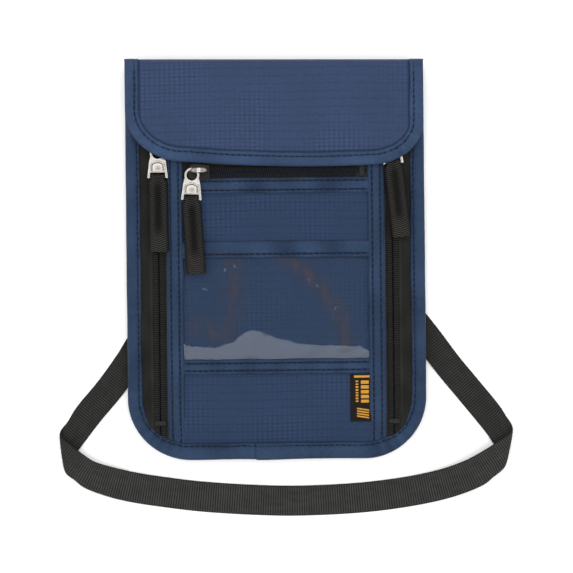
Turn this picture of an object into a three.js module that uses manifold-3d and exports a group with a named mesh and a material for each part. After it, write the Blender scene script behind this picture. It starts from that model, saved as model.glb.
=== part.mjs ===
// Neck pouch wallet, lying on its back on a table with its neck strap laid out around it.
// Millimetres. +X to the wearer's-view right, +Y towards the flap's fold, +Z up out of the front.
// The origin is the middle of the pouch's outline, on the table.

import * as THREE from 'three';
import { mergeVertices } from 'three/addons/utils/BufferGeometryUtils.js';
import Module from 'manifold-3d';

const wasm = await Module();
wasm.setup();

// ---------------------------------------------------------------- driving dimensions

const POUCH_W = 148.5;
const POUCH_H = 200;
const CORNER_R = 31;
const BINDING_W = 7.2;
const BINDING_T = 0.7;
const GAP = 0.3;

// Heights of the layers' undersides over the table, from the back to the front.
const BACK_Z = 4.3;
const SHIELD_Z = 5.2;
const DIVIDER_Z = 9.8;
const BASE_Z = 10.4;
const PANEL_Z = 11.8;
const BAND_Z = 12.5;
const SIDE_TAPE_Z = 8.6;
const FLAP_Z = 15.2;

const LINING_T = 0.3;
const PANEL_T = 0.4;
const BAND_T = 0.5;
const BACK_T = 0.6;
const TAPE_T = 0.35;

// Body binding, a folded strip with a slot for the layers' edges.
const BINDING_LOW_Z = 3.3;
const BINDING_HIGH_Z = 9.0;

// Where each layer starts to slope down to the bottom binding, and where it has reached it.
const SLOPE_START_Y = -80;
const SLOPE_END_Y = -91.5;

// Front field, between the two side bands.
const FIELD_HALF_W = 45.9;
const MOUTH_Y = 92.4;
const FACING_Y = [32, 39.8];
const WINDOW_TOP_BAND_Y = [0.1, 8.6];
const WINDOW_BOTTOM_BAND_Y = [-57.5, -50];
const LABEL_X = [37, 45.9];
const LABEL_Y = [-81.4, -57.9];

// Zips: number 5 coil, each with two tapes, two coils, a stop, a slider, a puller and a pull tab.
const SIDE_ZIP_X = 58;
const SIDE_ZIP_Y = [-80, 91];
const FRONT_ZIP_Y = 42.9;
const FRONT_ZIP_X = [-44, 41.5];
const COIL_W = 2.1;
const COIL_T = 0.8;
const COIL_GAP = 1.4;

const SLIDER_L = 10.6;
const SLIDER_W = 8.4;
const PLATE_T = 0.6;
const POST_W = 0.8;

const PULLER_L = 16.2;
const PULLER_T = 1.0;
const PULLER_HALF_W = 5.1;
const RING_R = 3.9;
const RING_HOLE_R = 2.7;
const RING_BAR = RING_R - RING_HOLE_R;
const PULL_BAR_Y = -(PULLER_L - RING_BAR / 2 - 0.5);
const TAB_L = 37;
const TAB_W = 9.3;
const TAB_NECK_W = 6.8;
const TAB_T = 2.2;

// Flap.
const FLAP_HALF_W = 74;
const FLAP_EDGE_Y = 45.4;
const FLAP_CORNER_R = 20;
const FLAP_CROWN = 0.9;
const FOLD_Y = 97;
const FLAP_BINDING_W = 7;
const HOOK_LOOP = { halfWidth: 30, low: 56, high: 72 };

// Strap: flat webbing.
const STRAP_W = 15;
const STRAP_T = 1.1;

// ---------------------------------------------------------------- materials

const COLOURS = {
  blue: [0x3a5278, 0.85, 0],
  ripstop: [0x344a70, 0.8, 0],
  lining: [0x2b3442, 0.8, 0],
  shield: [0x9aa0a6, 0.5, 0.4],
  vinyl: [0xc8d4e0, 0.1, 0],
  tape: [0x232321, 0.85, 0],
  coil: [0x1c1c1b, 0.45, 0],
  metal: [0xc8c3be, 0.25, 1],
  webbing: [0x323230, 0.8, 0],
  tab: [0x1e1e1a, 0.8, 0],
  label: [0x17150f, 0.8, 0],
  hookLoop: [0x1b1d22, 0.95, 0],
  plastic: [0x1a1a1a, 0.4, 0],
};

const part = new THREE.Group();

function add(name, colour, geometry, parent = part) {
  const [color, roughness, metalness] = COLOURS[colour];
  const mesh = new THREE.Mesh(geometry, new THREE.MeshStandardMaterial({ color, roughness, metalness }));
  mesh.name = name;
  parent.add(mesh);
  return mesh;
}

// ---------------------------------------------------------------- solids

function toSolid(geometry) {
  const bare = geometry.clone();
  bare.deleteAttribute('normal');
  bare.deleteAttribute('uv');
  const merged = mergeVertices(bare, 1e-4);
  return new wasm.Manifold(new wasm.Mesh({
    numProp: 3,
    vertProperties: new Float32Array(merged.attributes.position.array),
    triVerts: new Uint32Array(merged.index.array),
  }));
}

function toGeometry(solid) {
  const mesh = solid.getMesh();
  const geometry = new THREE.BufferGeometry();
  geometry.setAttribute('position', new THREE.BufferAttribute(new Float32Array(mesh.vertProperties), 3));
  geometry.setIndex(new THREE.BufferAttribute(new Uint32Array(mesh.triVerts), 1));
  return geometry;
}

function join(...geometries) {
  return toGeometry(geometries.map(toSolid).reduce((a, b) => a.add(b)));
}

function cut(geometry, ...tools) {
  return toGeometry(tools.map(toSolid).reduce((a, b) => a.subtract(b), toSolid(geometry)));
}

function common(...geometries) {
  return toGeometry(geometries.map(toSolid).reduce((a, b) => a.intersect(b)));
}

function polygon(points) {
  return new THREE.Shape(points.map(([x, y]) => new THREE.Vector2(x, y)));
}

// A flat outline in XY, standing from z0 to z1.
function plate(shape, z0, z1, curveSegments = 10) {
  const geometry = new THREE.ExtrudeGeometry(shape, { depth: z1 - z0, bevelEnabled: false, curveSegments });
  return geometry.translate(0, 0, z0);
}

function rectangle(x0, x1, y0, y1) {
  return polygon([[x0, y0], [x1, y0], [x1, y1], [x0, y1]]);
}

function box(x0, x1, y0, y1, z0, z1) {
  return new THREE.BoxGeometry(x1 - x0, y1 - y0, z1 - z0)
    .translate((x0 + x1) / 2, (y0 + y1) / 2, (z0 + z1) / 2);
}

// An outline drawn in YZ, running along X from x0 to x1.
function barAlongX(shape, x0, x1, curveSegments = 8) {
  const geometry = new THREE.ExtrudeGeometry(shape, { depth: x1 - x0, bevelEnabled: false, curveSegments });
  return geometry.applyMatrix4(new THREE.Matrix4().set(
    0, 0, 1, x0,
    1, 0, 0, 0,
    0, 1, 0, 0,
    0, 0, 0, 1,
  ));
}

// Everything under a crest line: acrossX lists [x, z] for one half and is mirrored, alongY lists [y, z].
const FAR = 130;
const FLOOR_Z = -20;

function under(acrossX, alongY, lift) {
  const half = acrossX.map(([x, z]) => [x, z + lift]);
  const mirrored = half.map(([x, z]) => [-x, z]).reverse().filter(([x]) => x !== 0);
  const lastZ = half[half.length - 1][1];
  const crossX = polygon([
    [-FAR, FLOOR_Z], [FAR, FLOOR_Z], [FAR, lastZ], ...[...mirrored, ...half].reverse(), [-FAR, lastZ],
  ]);
  const lengthways = new THREE.ExtrudeGeometry(crossX, { depth: 2 * FAR, bevelEnabled: false })
    .rotateX(Math.PI / 2)
    .translate(0, FAR, 0);
  if (!alongY) return lengthways;
  const line = alongY.map(([y, z]) => [y, z + lift]);
  const [startZ, endZ] = [line[0][1], line[line.length - 1][1]];
  const crossY = polygon([
    [-FAR, FLOOR_Z], [FAR, FLOOR_Z], [FAR, endZ], ...[...line].reverse(), [-FAR, startZ],
  ]);
  return common(lengthways, barAlongX(crossY, -FAR, FAR));
}

// A sheet of even height cut to an outline and draped over a crest line.
function draped(shape, acrossX, alongY, thickness) {
  const sheet = cut(under(acrossX, alongY, thickness), under(acrossX, alongY, 0));
  return common(sheet, plate(shape, FLOOR_Z, 40, 12));
}

// The slope of a layer from its own height down to its place in the bottom binding.
function bottomSlope(z, endZ) {
  return [[SLOPE_END_Y, endZ], [SLOPE_START_Y, z]];
}

function flatAcross(z) {
  return [[0, z], [FLAP_HALF_W + 6, z]];
}

// ---------------------------------------------------------------- outlines

const HALF_W = POUCH_W / 2;
const BOTTOM_Y = -POUCH_H / 2;

// The pouch's outline, drawn in by inset, with square upper corners at topY.
function pouchOutline(inset, topY) {
  const x = HALF_W - inset;
  const y = BOTTOM_Y + inset;
  const r = CORNER_R - inset;
  const shape = new THREE.Shape();
  shape.moveTo(x, topY);
  shape.lineTo(-x, topY);
  shape.lineTo(-x, y + r);
  shape.absarc(-x + r, y + r, r, Math.PI, 1.5 * Math.PI, false);
  shape.lineTo(x - r, y);
  shape.absarc(x - r, y + r, r, 1.5 * Math.PI, 2 * Math.PI, false);
  return shape;
}

// The flap's outline, drawn in by inset: rounded lower corners and a slightly crowned edge.
function flapOutline(inset, topY) {
  const x = FLAP_HALF_W - inset;
  const r = FLAP_CORNER_R - inset;
  const edge = FLAP_EDGE_Y + inset;
  const shape = new THREE.Shape();
  shape.moveTo(x, topY);
  shape.lineTo(-x, topY);
  shape.lineTo(-x, edge + FLAP_CROWN + r);
  shape.absarc(-x + r, edge + FLAP_CROWN + r, r, Math.PI, 1.5 * Math.PI, false);
  shape.quadraticCurveTo(0, edge - FLAP_CROWN, x - r, edge + FLAP_CROWN);
  shape.absarc(x - r, edge + FLAP_CROWN + r, r, 1.5 * Math.PI, 2 * Math.PI, false);
  return shape;
}

const EDGE_INSET = 1.2;

// The space for layers that enter the binding at the sides but stop short of it round the lower corners.
function insideSeam() {
  const cornerY = BOTTOM_Y + CORNER_R;
  return join(
    box(-HALF_W + EDGE_INSET, HALF_W - EDGE_INSET, cornerY, FOLD_Y, FLOOR_Z, 40),
    plate(pouchOutline(BINDING_W + GAP, FOLD_Y), FLOOR_Z, 40),
  );
}

// ---------------------------------------------------------------- back, lining and divider

add('back_panel', 'ripstop', plate(pouchOutline(EDGE_INSET, FOLD_Y), BACK_Z, BACK_Z + BACK_T));

add('shield_lining', 'shield', plate(pouchOutline(14, 90), SHIELD_Z, SHIELD_Z + LINING_T));

const dividerAcross = [[0, DIVIDER_Z], [47.5, DIVIDER_Z], [52.5, 7.0], [66.5, 5.9], [74, 5.9]];
add('divider', 'lining', draped(
  pouchOutline(EDGE_INSET, MOUTH_Y), dividerAcross, bottomSlope(DIVIDER_Z, 5.2), LINING_T,
));

// ---------------------------------------------------------------- front panels

function frontPanel(name, colour, y0, y1, halfWidth, z, thickness) {
  return add(name, colour, plate(rectangle(-halfWidth, halfWidth, y0, y1), z, z + thickness));
}

const PANEL_HALF_W = 49.8;
const LAYER_BOTTOM_Y = BOTTOM_Y + EDGE_INSET;

// The space inside the binding's slot, which layers that cross the lower seam are cut to.
const insideSlot = plate(pouchOutline(EDGE_INSET, FOLD_Y), FLOOR_Z, 40);

const basePanelOutline = rectangle(-50.3, 50.3, LAYER_BOTTOM_Y, MOUTH_Y);
add('front_base_panel', 'ripstop', common(
  draped(basePanelOutline, flatAcross(BASE_Z), bottomSlope(BASE_Z, 5.8), LINING_T),
  insideSlot,
));

const TAPE_HALF_SPAN = 5.6;
const zipTapeTop = FRONT_ZIP_Y + TAPE_HALF_SPAN;
const zipTapeBottom = FRONT_ZIP_Y - TAPE_HALF_SPAN;

frontPanel('mouth_panel', 'blue', zipTapeTop + GAP, MOUTH_Y, PANEL_HALF_W, PANEL_Z, PANEL_T);
frontPanel('upper_pocket_panel', 'ripstop', 2, zipTapeBottom - GAP, PANEL_HALF_W, PANEL_Z, PANEL_T);
frontPanel('clear_window', 'vinyl', -51.5, 1.7, PANEL_HALF_W, PANEL_Z, LINING_T);
frontPanel('zip_facing', 'blue', ...FACING_Y, FIELD_HALF_W, BAND_Z, BAND_T);
frontPanel('window_top_band', 'blue', ...WINDOW_TOP_BAND_Y, FIELD_HALF_W, BAND_Z, BAND_T);
frontPanel('window_bottom_band', 'blue', ...WINDOW_BOTTOM_BAND_Y, FIELD_HALF_W, BAND_Z, BAND_T);

add('lower_panel', 'ripstop', common(
  draped(
    rectangle(-PANEL_HALF_W, PANEL_HALF_W, LAYER_BOTTOM_Y, -51.8), flatAcross(PANEL_Z),
    bottomSlope(PANEL_Z, 6.4), PANEL_T,
  ),
  insideSlot,
));

add('woven_label', 'label', box(...LABEL_X, ...LABEL_Y, BAND_Z, BAND_Z + LINING_T));

// Each side band lies over the panels' edges and slopes down to the side zip's inner tape.
const bandAcross = [[0, BAND_Z], [50.2, BAND_Z], [54.2, 9.4], [60, 9.4]];
for (const [name, x0, x1] of [['left_side_band', -54.2, -46.2], ['right_side_band', 46.2, 54.2]]) {
  add(name, 'blue', common(
    draped(rectangle(x0, x1, LAYER_BOTTOM_Y, MOUTH_Y - 4.4), bandAcross, bottomSlope(BAND_Z, 7.1), BAND_T),
    insideSeam(),
  ));
}

// A folded hem over the front layers' upper edges, at the mouth of the main compartment.
add('mouth_hem', 'blue', cut(
  box(-47, 47, MOUTH_Y - 4.1, MOUTH_Y + 0.9, DIVIDER_Z - 0.9, PANEL_Z + PANEL_T + 0.9),
  box(-60, 60, MOUTH_Y - 5, MOUTH_Y + 0.3, DIVIDER_Z - GAP, PANEL_Z + PANEL_T + GAP),
));

add('loop_tape', 'hookLoop', box(
  -HOOK_LOOP.halfWidth, HOOK_LOOP.halfWidth, HOOK_LOOP.low, HOOK_LOOP.high, PANEL_Z + PANEL_T + GAP, 13.7,
));

// ---------------------------------------------------------------- bindings

add('body_binding', 'blue', cut(
  plate(pouchOutline(0, FOLD_Y), BINDING_LOW_Z, BINDING_HIGH_Z),
  plate(pouchOutline(BINDING_W, FOLD_Y + 5), BINDING_LOW_Z - 1, BINDING_HIGH_Z + 1),
  plate(pouchOutline(0.8, FOLD_Y + 5), BINDING_LOW_Z + BINDING_T, BINDING_HIGH_Z - BINDING_T),
));

// ---------------------------------------------------------------- zips

const sideTapeAcross = [[0, SIDE_TAPE_Z], [62.5, SIDE_TAPE_Z], [67.2, 6.65], [74, 6.65]];
const sideTapeAlong = [[SLOPE_END_Y, 7.8], [-84, SIDE_TAPE_Z]];
const sideCoilZ = SIDE_TAPE_Z + TAPE_T + GAP;

// One coil's half of the chain, beside the zip's centre line.
const COIL_NEAR = COIL_GAP / 2;
const COIL_FAR = COIL_NEAR + COIL_W;

for (const side of ['left', 'right']) {
  const sign = side === 'left' ? -1 : 1;
  const span = (a, b) => [Math.min(sign * a, sign * b), Math.max(sign * a, sign * b)];
  const inner = span(51, SIDE_ZIP_X - COIL_NEAR);
  const outer = span(SIDE_ZIP_X + COIL_NEAR, HALF_W - EDGE_INSET);
  add(`${side}_zip_inner_tape`, 'tape', draped(
    rectangle(...inner, -86, SIDE_ZIP_Y[1]), sideTapeAcross, sideTapeAlong, TAPE_T,
  ));
  add(`${side}_zip_outer_tape`, 'tape', common(
    draped(rectangle(...outer, -96, SIDE_ZIP_Y[1]), sideTapeAcross, sideTapeAlong, TAPE_T),
    insideSeam(),
  ));
  for (const [place, from, to] of [['inner', -COIL_FAR, -COIL_NEAR], ['outer', COIL_NEAR, COIL_FAR]]) {
    add(`${side}_zip_${place}_coil`, 'coil', box(
      ...span(SIDE_ZIP_X + from, SIDE_ZIP_X + to), ...SIDE_ZIP_Y, sideCoilZ, sideCoilZ + COIL_T,
    ));
  }
  add(`${side}_zip_stop`, 'metal', box(
    ...span(SIDE_ZIP_X - COIL_FAR, SIDE_ZIP_X + COIL_FAR), SIDE_ZIP_Y[0] - 2.6, SIDE_ZIP_Y[0] - GAP,
    sideCoilZ, sideCoilZ + COIL_T + 0.2,
  ));
}

const frontCoilZ = PANEL_Z + TAPE_T + 0.25;
for (const [place, sign] of [['lower', -1], ['upper', 1]]) {
  const near = FRONT_ZIP_Y + sign * COIL_NEAR;
  const far = FRONT_ZIP_Y + sign * COIL_FAR;
  const edge = FRONT_ZIP_Y + sign * TAPE_HALF_SPAN;
  add(`front_zip_${place}_tape`, 'tape', box(
    -PANEL_HALF_W, PANEL_HALF_W, Math.min(near, edge), Math.max(near, edge), PANEL_Z, PANEL_Z + TAPE_T,
  ));
  add(`front_zip_${place}_coil`, 'coil', box(
    ...FRONT_ZIP_X, Math.min(near, far), Math.max(near, far), frontCoilZ, frontCoilZ + COIL_T,
  ));
}
add('front_zip_stop', 'metal', box(
  FRONT_ZIP_X[1] + GAP, FRONT_ZIP_X[1] + 2.8, FRONT_ZIP_Y - COIL_FAR, FRONT_ZIP_Y + COIL_FAR,
  frontCoilZ, frontCoilZ + COIL_T + 0.2,
));

// ---------------------------------------------------------------- sliders, pullers and tabs

// A slider in its own frame: it runs along Y, its nose towards +Y, z = 0 under the zip's tape.
// Two plates are joined by a post between the coils, and a crown arches over the puller's ring.
function sliderGeometry({ belowTape, topPlateZ, archZ, crownW, legY }) {
  const outline = new THREE.Shape();
  const w = SLIDER_W / 2;
  const l = SLIDER_L / 2;
  outline.moveTo(w, l - 3);
  outline.quadraticCurveTo(w, l, w - 2.4, l);
  outline.lineTo(-w + 2.4, l);
  outline.quadraticCurveTo(-w, l, -w, l - 3);
  outline.lineTo(-w + 0.9, -l);
  outline.lineTo(w - 0.9, -l);
  const top = topPlateZ + PLATE_T;
  const arch = polygon([
    [-legY - 0.8, top - 0.1], [-legY, top - 0.1], [-legY, archZ], [legY, archZ], [legY, top - 0.1],
    [legY + 0.8, top - 0.1], [legY + 0.8, archZ + 0.1], [legY, archZ + 0.7], [-legY, archZ + 0.7],
    [-legY - 0.8, archZ + 0.1],
  ]);
  return join(
    plate(outline, -belowTape - PLATE_T + 0.1, -belowTape),
    plate(outline, topPlateZ, top),
    box(-POST_W / 2, POST_W / 2, l - 4, l - 0.6, -belowTape - 0.1, topPlateZ + 0.1),
    barAlongX(arch, -crownW / 2, crownW / 2),
  );
}

// A puller in its own frame: the ring's bar is at the origin and the plate runs towards -Y.
function pullerGeometry() {
  const ringY = -(RING_R + RING_HOLE_R) / 2;
  const foot = RING_BAR / 2 - PULLER_L;
  const spread = Math.PI / 9;
  const shape = new THREE.Shape();
  shape.absarc(0, ringY, RING_R, -spread, Math.PI + spread, false);
  shape.lineTo(-PULLER_HALF_W, foot);
  shape.lineTo(PULLER_HALF_W, foot);
  const eye = new THREE.Path();
  eye.absarc(0, ringY, RING_HOLE_R, 0, 2 * Math.PI, true);
  const slotTop = PULL_BAR_Y + 2.3;
  const slotBottom = PULL_BAR_Y + 0.5;
  const slot = new THREE.Path([
    new THREE.Vector2(-3.85, slotBottom), new THREE.Vector2(-3.75, slotTop),
    new THREE.Vector2(3.75, slotTop), new THREE.Vector2(3.85, slotBottom),
  ]);
  shape.holes.push(eye, slot);
  return plate(shape, -PULLER_T / 2, PULLER_T / 2, 14);
}

// A webbing tab in its own frame: it loops round the puller's lower bar at the origin and runs to -Y.
function tabGeometry() {
  const half = TAB_T / 2;
  const profile = new THREE.Shape();
  profile.moveTo(-3.5, -half);
  profile.lineTo(-1, -1.5);
  profile.absarc(0, 0, 1.75, 1.25 * Math.PI, 0.75 * Math.PI + 2 * Math.PI, false);
  profile.lineTo(-1, 1.5);
  profile.lineTo(-3.5, half);
  const eye = new THREE.Path();
  eye.absarc(0, 0, 0.95, 0, 2 * Math.PI, true);
  profile.holes.push(eye);
  return join(
    barAlongX(profile, -TAB_NECK_W / 2, TAB_NECK_W / 2),
    box(-TAB_W / 2, TAB_W / 2, -TAB_L, -3.3, -half, half),
  );
}

const degrees = THREE.MathUtils.degToRad;

// pivot is the ring bar's place on the slider; the leans turn the puller and the tab in the zip's plane.
const ZIP_PULLS = [
  {
    name: 'left',
    at: [-SIDE_ZIP_X, 57, SIDE_TAPE_Z],
    turn: 0,
    slider: { belowTape: 0.4, topPlateZ: 1.7, archZ: 4.6, crownW: 2.2, legY: 3.2 },
    pivot: [-SIDE_ZIP_X, 55.6, 12.2],
    pullerLean: 0,
    tabLean: 0.4,
  },
  {
    name: 'right',
    at: [SIDE_ZIP_X, 63.0, SIDE_TAPE_Z],
    turn: 0,
    slider: { belowTape: 0.4, topPlateZ: 1.7, archZ: 4.6, crownW: 2.2, legY: 3.2 },
    pivot: [SIDE_ZIP_X - 0.4, 61.6, 12.2],
    pullerLean: 4,
    tabLean: 6,
  },
  {
    name: 'front',
    at: [-37.5, FRONT_ZIP_Y, PANEL_Z],
    turn: 90,
    slider: { belowTape: 0.3, topPlateZ: 1.6, archZ: 5.1, crownW: 1.2, legY: 3.2 },
    pivot: [-40.8, FRONT_ZIP_Y + 1.6, 15.1],
    pullerLean: -2,
    tabLean: 3.2,
  },
];

const pullerShape = pullerGeometry();
const tabShape = tabGeometry();

for (const pull of ZIP_PULLS) {
  const slider = add(`${pull.name}_slider`, 'metal', sliderGeometry(pull.slider));
  slider.position.set(...pull.at);
  slider.rotation.z = degrees(pull.turn);

  const swing = new THREE.Group();
  swing.position.set(...pull.pivot);
  swing.rotation.z = degrees(pull.pullerLean);
  part.add(swing);
  add(`${pull.name}_puller`, 'metal', pullerShape, swing);

  const tabSwing = new THREE.Group();
  tabSwing.position.set(0, PULL_BAR_Y, 0);
  tabSwing.rotation.z = degrees(pull.tabLean - pull.pullerLean);
  swing.add(tabSwing);
  add(`${pull.name}_pull_tab`, 'tab', tabShape, tabSwing);
}

// ---------------------------------------------------------------- flap

const flapAcross = [[0, FLAP_Z], [61, FLAP_Z], [74.2, 10.4], [80, 10.4]];
const OUTER_LIFT = LINING_T + GAP;
const OUTER_T = 0.6;

function liftedFlap(lift) {
  return flapAcross.map(([x, z]) => [x, z + lift]);
}

add('flap_lining', 'lining', draped(flapOutline(EDGE_INSET, FOLD_Y), flapAcross, null, LINING_T));
add('flap_outer', 'ripstop', draped(
  flapOutline(EDGE_INSET, FOLD_Y), liftedFlap(OUTER_LIFT), null, OUTER_T,
));

const bindingWall = 0.6;
const slotDepth = OUTER_LIFT + OUTER_T + 2 * GAP;
add('flap_binding', 'blue', cut(
  draped(flapOutline(0, FOLD_Y), liftedFlap(-GAP - bindingWall), null, slotDepth + 2 * bindingWall),
  plate(flapOutline(FLAP_BINDING_W, FOLD_Y + 5), FLOOR_Z, 40),
  draped(flapOutline(0.8, FOLD_Y + 5), liftedFlap(-GAP), null, slotDepth),
));

add('hook_tape', 'hookLoop', box(
  -HOOK_LOOP.halfWidth, HOOK_LOOP.halfWidth, HOOK_LOOP.low, HOOK_LOOP.high, 14.0, FLAP_Z - GAP,
));

// The fold that carries the flap from the back panel over the pouch's upper edge.
const foldOuter = [
  [98, BACK_Z], [99.2, 4.8], [99.85, 6.6], [100, 10.3], [99.85, 14.2], [99.2, 15.9], [98, 16.4],
];
const foldInner = [
  [98, 15.8], [98.6, 15.3], [99.25, 14.2], [99.4, 10.3], [99.25, 6.6], [98.6, 5.4], [98, BACK_Z + BACK_T],
];
add('flap_spine', 'ripstop', barAlongX(polygon([...foldOuter, ...foldInner]), -73, 73));

// ---------------------------------------------------------------- strap

// A webbing strip through hand-placed stations: [x, y, z] of its centre line.
// Where the strip is folded over, the crease's own direction is given, and the strip turns over round it.
function ribbon(stations) {
  const positions = [];
  const rows = stations.length;
  for (const { centre, half, normal } of stations) {
    const up = normal.clone().multiplyScalar(STRAP_T / 2);
    for (const [side, lift] of [[-1, -1], [1, -1], [1, 1], [-1, 1]]) {
      const corner = centre.clone().addScaledVector(half, side).addScaledVector(up, lift);
      positions.push(corner.x, corner.y, corner.z);
    }
  }
  const index = [0, 1, 2, 0, 2, 3];
  for (let row = 0; row < rows - 1; row += 1) {
    for (let corner = 0; corner < 4; corner += 1) {
      const a = 4 * row + corner;
      const b = 4 * row + ((corner + 1) % 4);
      index.push(a, a + 4, b + 4, a, b + 4, b);
    }
  }
  const last = 4 * (rows - 1);
  index.push(last, last + 2, last + 1, last, last + 3, last + 2);
  const geometry = new THREE.BufferGeometry();
  geometry.setAttribute('position', new THREE.BufferAttribute(new Float32Array(positions), 3));
  geometry.setIndex(index);
  return geometry;
}

const UP = new THREE.Vector3(0, 0, 1);

// Stations for an unfolded run: half widths stand square to the run,
// or lie along the crease where one is given.
function run(points, { flipped = false, startCrease = null, endCrease = null } = {}) {
  const centres = points.map((p) => new THREE.Vector3(...p));
  return centres.map((centre, i) => {
    const before = centres[Math.max(i - 1, 0)];
    const after = centres[Math.min(i + 1, centres.length - 1)];
    const along = after.clone().sub(before).normalize();
    let half = new THREE.Vector3(along.y, -along.x, 0).normalize().multiplyScalar(STRAP_W / 2);
    if (flipped) half.negate();
    if (i === 0 && startCrease) half = startCrease.clone();
    if (i === centres.length - 1 && endCrease) half = endCrease.clone();
    const normal = half.clone().cross(along).normalize();
    if (flipped ? normal.z > 0 : normal.z < 0) normal.negate();
    return { centre, half, normal };
  });
}

// The half width along a crease, for a strip that arrives along the given direction.
function creaseHalf(crease, arriving) {
  const along = new THREE.Vector3(...arriving, 0).normalize();
  const line = new THREE.Vector3(...crease, 0).normalize();
  const across = new THREE.Vector3(along.y, -along.x, 0);
  if (line.dot(across) < 0) line.negate();
  return line.multiplyScalar(STRAP_W / 2 / line.dot(across));
}

const FIRST_LAYER = STRAP_T / 2;
const SECOND_LAYER = 1.5 * STRAP_T + GAP;
const THIRD_LAYER = 2.5 * STRAP_T + 2 * GAP;
const ANCHOR_Z = 3.45;

const LEFT_CREASE = { at: [-108, -94.4], line: [0.108, -0.994], arriving: [-0.647, -0.762] };
const RIGHT_CREASE = { at: [116.2, -96.7], line: [0.113, 0.994], arriving: [0.78, 0.62] };

// The turn of a fold: one station at the crease's outer side, standing on edge.
function foldStation({ at, line, arriving }, half, z) {
  const outward = new THREE.Vector3(line[1], -line[0], 0).normalize();
  if (outward.x * arriving[0] + outward.y * arriving[1] < 0) outward.negate();
  const centre = new THREE.Vector3(...at, z).addScaledVector(outward, 0.7);
  return { centre, half, normal: outward };
}

// From the anchor at the upper right corner, under the pouch to its left side.
const underRightToLeft = [
  [62, 90, ANCHOR_Z], [54, 82.6, ANCHOR_Z], [44, 73.2, 2.3], [33, 62.6, 0.9], [20, 49.8, FIRST_LAYER],
  [4, 33.6, FIRST_LAYER], [-12, 16.8, FIRST_LAYER], [-30, -2.6, FIRST_LAYER], [-47, -21.4, FIRST_LAYER],
  [-61, -37.4, FIRST_LAYER], [-73.7, -52.2, FIRST_LAYER], [-84.7, -66.1, FIRST_LAYER],
  [-94.8, -78.2, FIRST_LAYER], [-101.5, -86.5, FIRST_LAYER], [-108, -94.4, FIRST_LAYER],
];

// Across the front, below the pouch, from fold to fold.
const acrossFront = [
  [-108, -94.4, SECOND_LAYER], [-99, -101.5, SECOND_LAYER], [-88.7, -108.4, 1.6], [-76.2, -112.8, 0.8],
  [-58.2, -116, FIRST_LAYER], [-38.8, -118.6, FIRST_LAYER], [-8.8, -120.8, FIRST_LAYER],
  [11.2, -121.3, FIRST_LAYER], [40.7, -120, FIRST_LAYER], [65.8, -117, FIRST_LAYER], [81.3, -114, 0.8],
  [93, -110.6, 1.6], [105.4, -104.9, SECOND_LAYER], [116.2, -96.7, SECOND_LAYER],
];

// From the right fold under the pouch and over the first run, to the adjuster.
const underLeftToAdjuster = [
  [116.2, -96.7, FIRST_LAYER], [107.4, -80.4, FIRST_LAYER], [97.8, -68, FIRST_LAYER],
  [88.2, -55.9, FIRST_LAYER], [74.9, -37.8, FIRST_LAYER], [64, -24.3, FIRST_LAYER], [50, -7.8, FIRST_LAYER],
  [34, 9.9, FIRST_LAYER], [23, 21.5, FIRST_LAYER], [16.5, 28, SECOND_LAYER], [7.6, 36.6, SECOND_LAYER],
  [-1, 44.3, SECOND_LAYER], [-8, 50.5, FIRST_LAYER], [-16, 57.2, FIRST_LAYER], [-27, 66, FIRST_LAYER],
];

// The adjuster stands on this line; s runs from the long strap's side to the anchor's side.
const ADJUSTER_AT = [-33, 70.6];
const ADJUSTER_ANGLE = Math.atan2(0.596, -0.803);

function onAdjuster(s, z) {
  return [ADJUSTER_AT[0] + s * Math.cos(ADJUSTER_ANGLE), ADJUSTER_AT[1] + s * Math.sin(ADJUSTER_ANGLE), z];
}

// A turn round one of the adjuster's bars, as points from one layer to the other.
function aroundBar(barEnd, fromZ, toZ, bulge) {
  const middle = (fromZ + toZ) / 2;
  const radius = Math.abs(toZ - fromZ) / 2;
  return [-0.5, -0.25, 0, 0.25, 0.5].map((turn) => {
    const angle = turn * Math.PI;
    const z = middle + Math.sin(angle) * radius * Math.sign(toZ - fromZ);
    return onAdjuster(barEnd + bulge * Math.cos(angle) * radius, z);
  });
}

const MAIN_BAR_S = 0.6;
const tail = [
  onAdjuster(-9, THIRD_LAYER), [-21, 61.2, THIRD_LAYER], [-10, 52.3, THIRD_LAYER], [0, 43.5, THIRD_LAYER],
  [10, 34.3, THIRD_LAYER], [20, 24.5, THIRD_LAYER - 0.6], [28.5, 15.8, 2.1],
];

// Stations along a strip that turns over in the XZ-like plane of its own run, with a fixed half width.
function wrapped(points, half) {
  const centres = points.map((p) => new THREE.Vector3(...p));
  return centres.map((centre, i) => {
    const before = centres[Math.max(i - 1, 0)];
    const after = centres[Math.min(i + 1, centres.length - 1)];
    const along = after.clone().sub(before).normalize();
    return { centre, half: half.clone(), normal: half.clone().cross(along).normalize() };
  });
}

const leftHalf = creaseHalf(LEFT_CREASE.line, LEFT_CREASE.arriving);
const rightHalf = creaseHalf(RIGHT_CREASE.line, RIGHT_CREASE.arriving);
const FOLD_Z = (FIRST_LAYER + SECOND_LAYER) / 2;

const adjusterHalf = new THREE.Vector3(Math.sin(ADJUSTER_ANGLE), -Math.cos(ADJUSTER_ANGLE), 0)
  .multiplyScalar(STRAP_W / 2);

add('neck_strap', 'webbing', ribbon([
  ...run(underRightToLeft, { endCrease: leftHalf }),
  foldStation(LEFT_CREASE, leftHalf, FOLD_Z),
  ...run(acrossFront, { flipped: true, startCrease: leftHalf, endCrease: rightHalf.clone().negate() }),
  foldStation(RIGHT_CREASE, rightHalf.clone().negate(), FOLD_Z),
  ...run(underLeftToAdjuster, { startCrease: rightHalf.clone().negate() }),
  ...wrapped([onAdjuster(-3, FIRST_LAYER), ...aroundBar(MAIN_BAR_S, FIRST_LAYER, THIRD_LAYER, 1), ...tail],
    adjusterHalf),
]));

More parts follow.
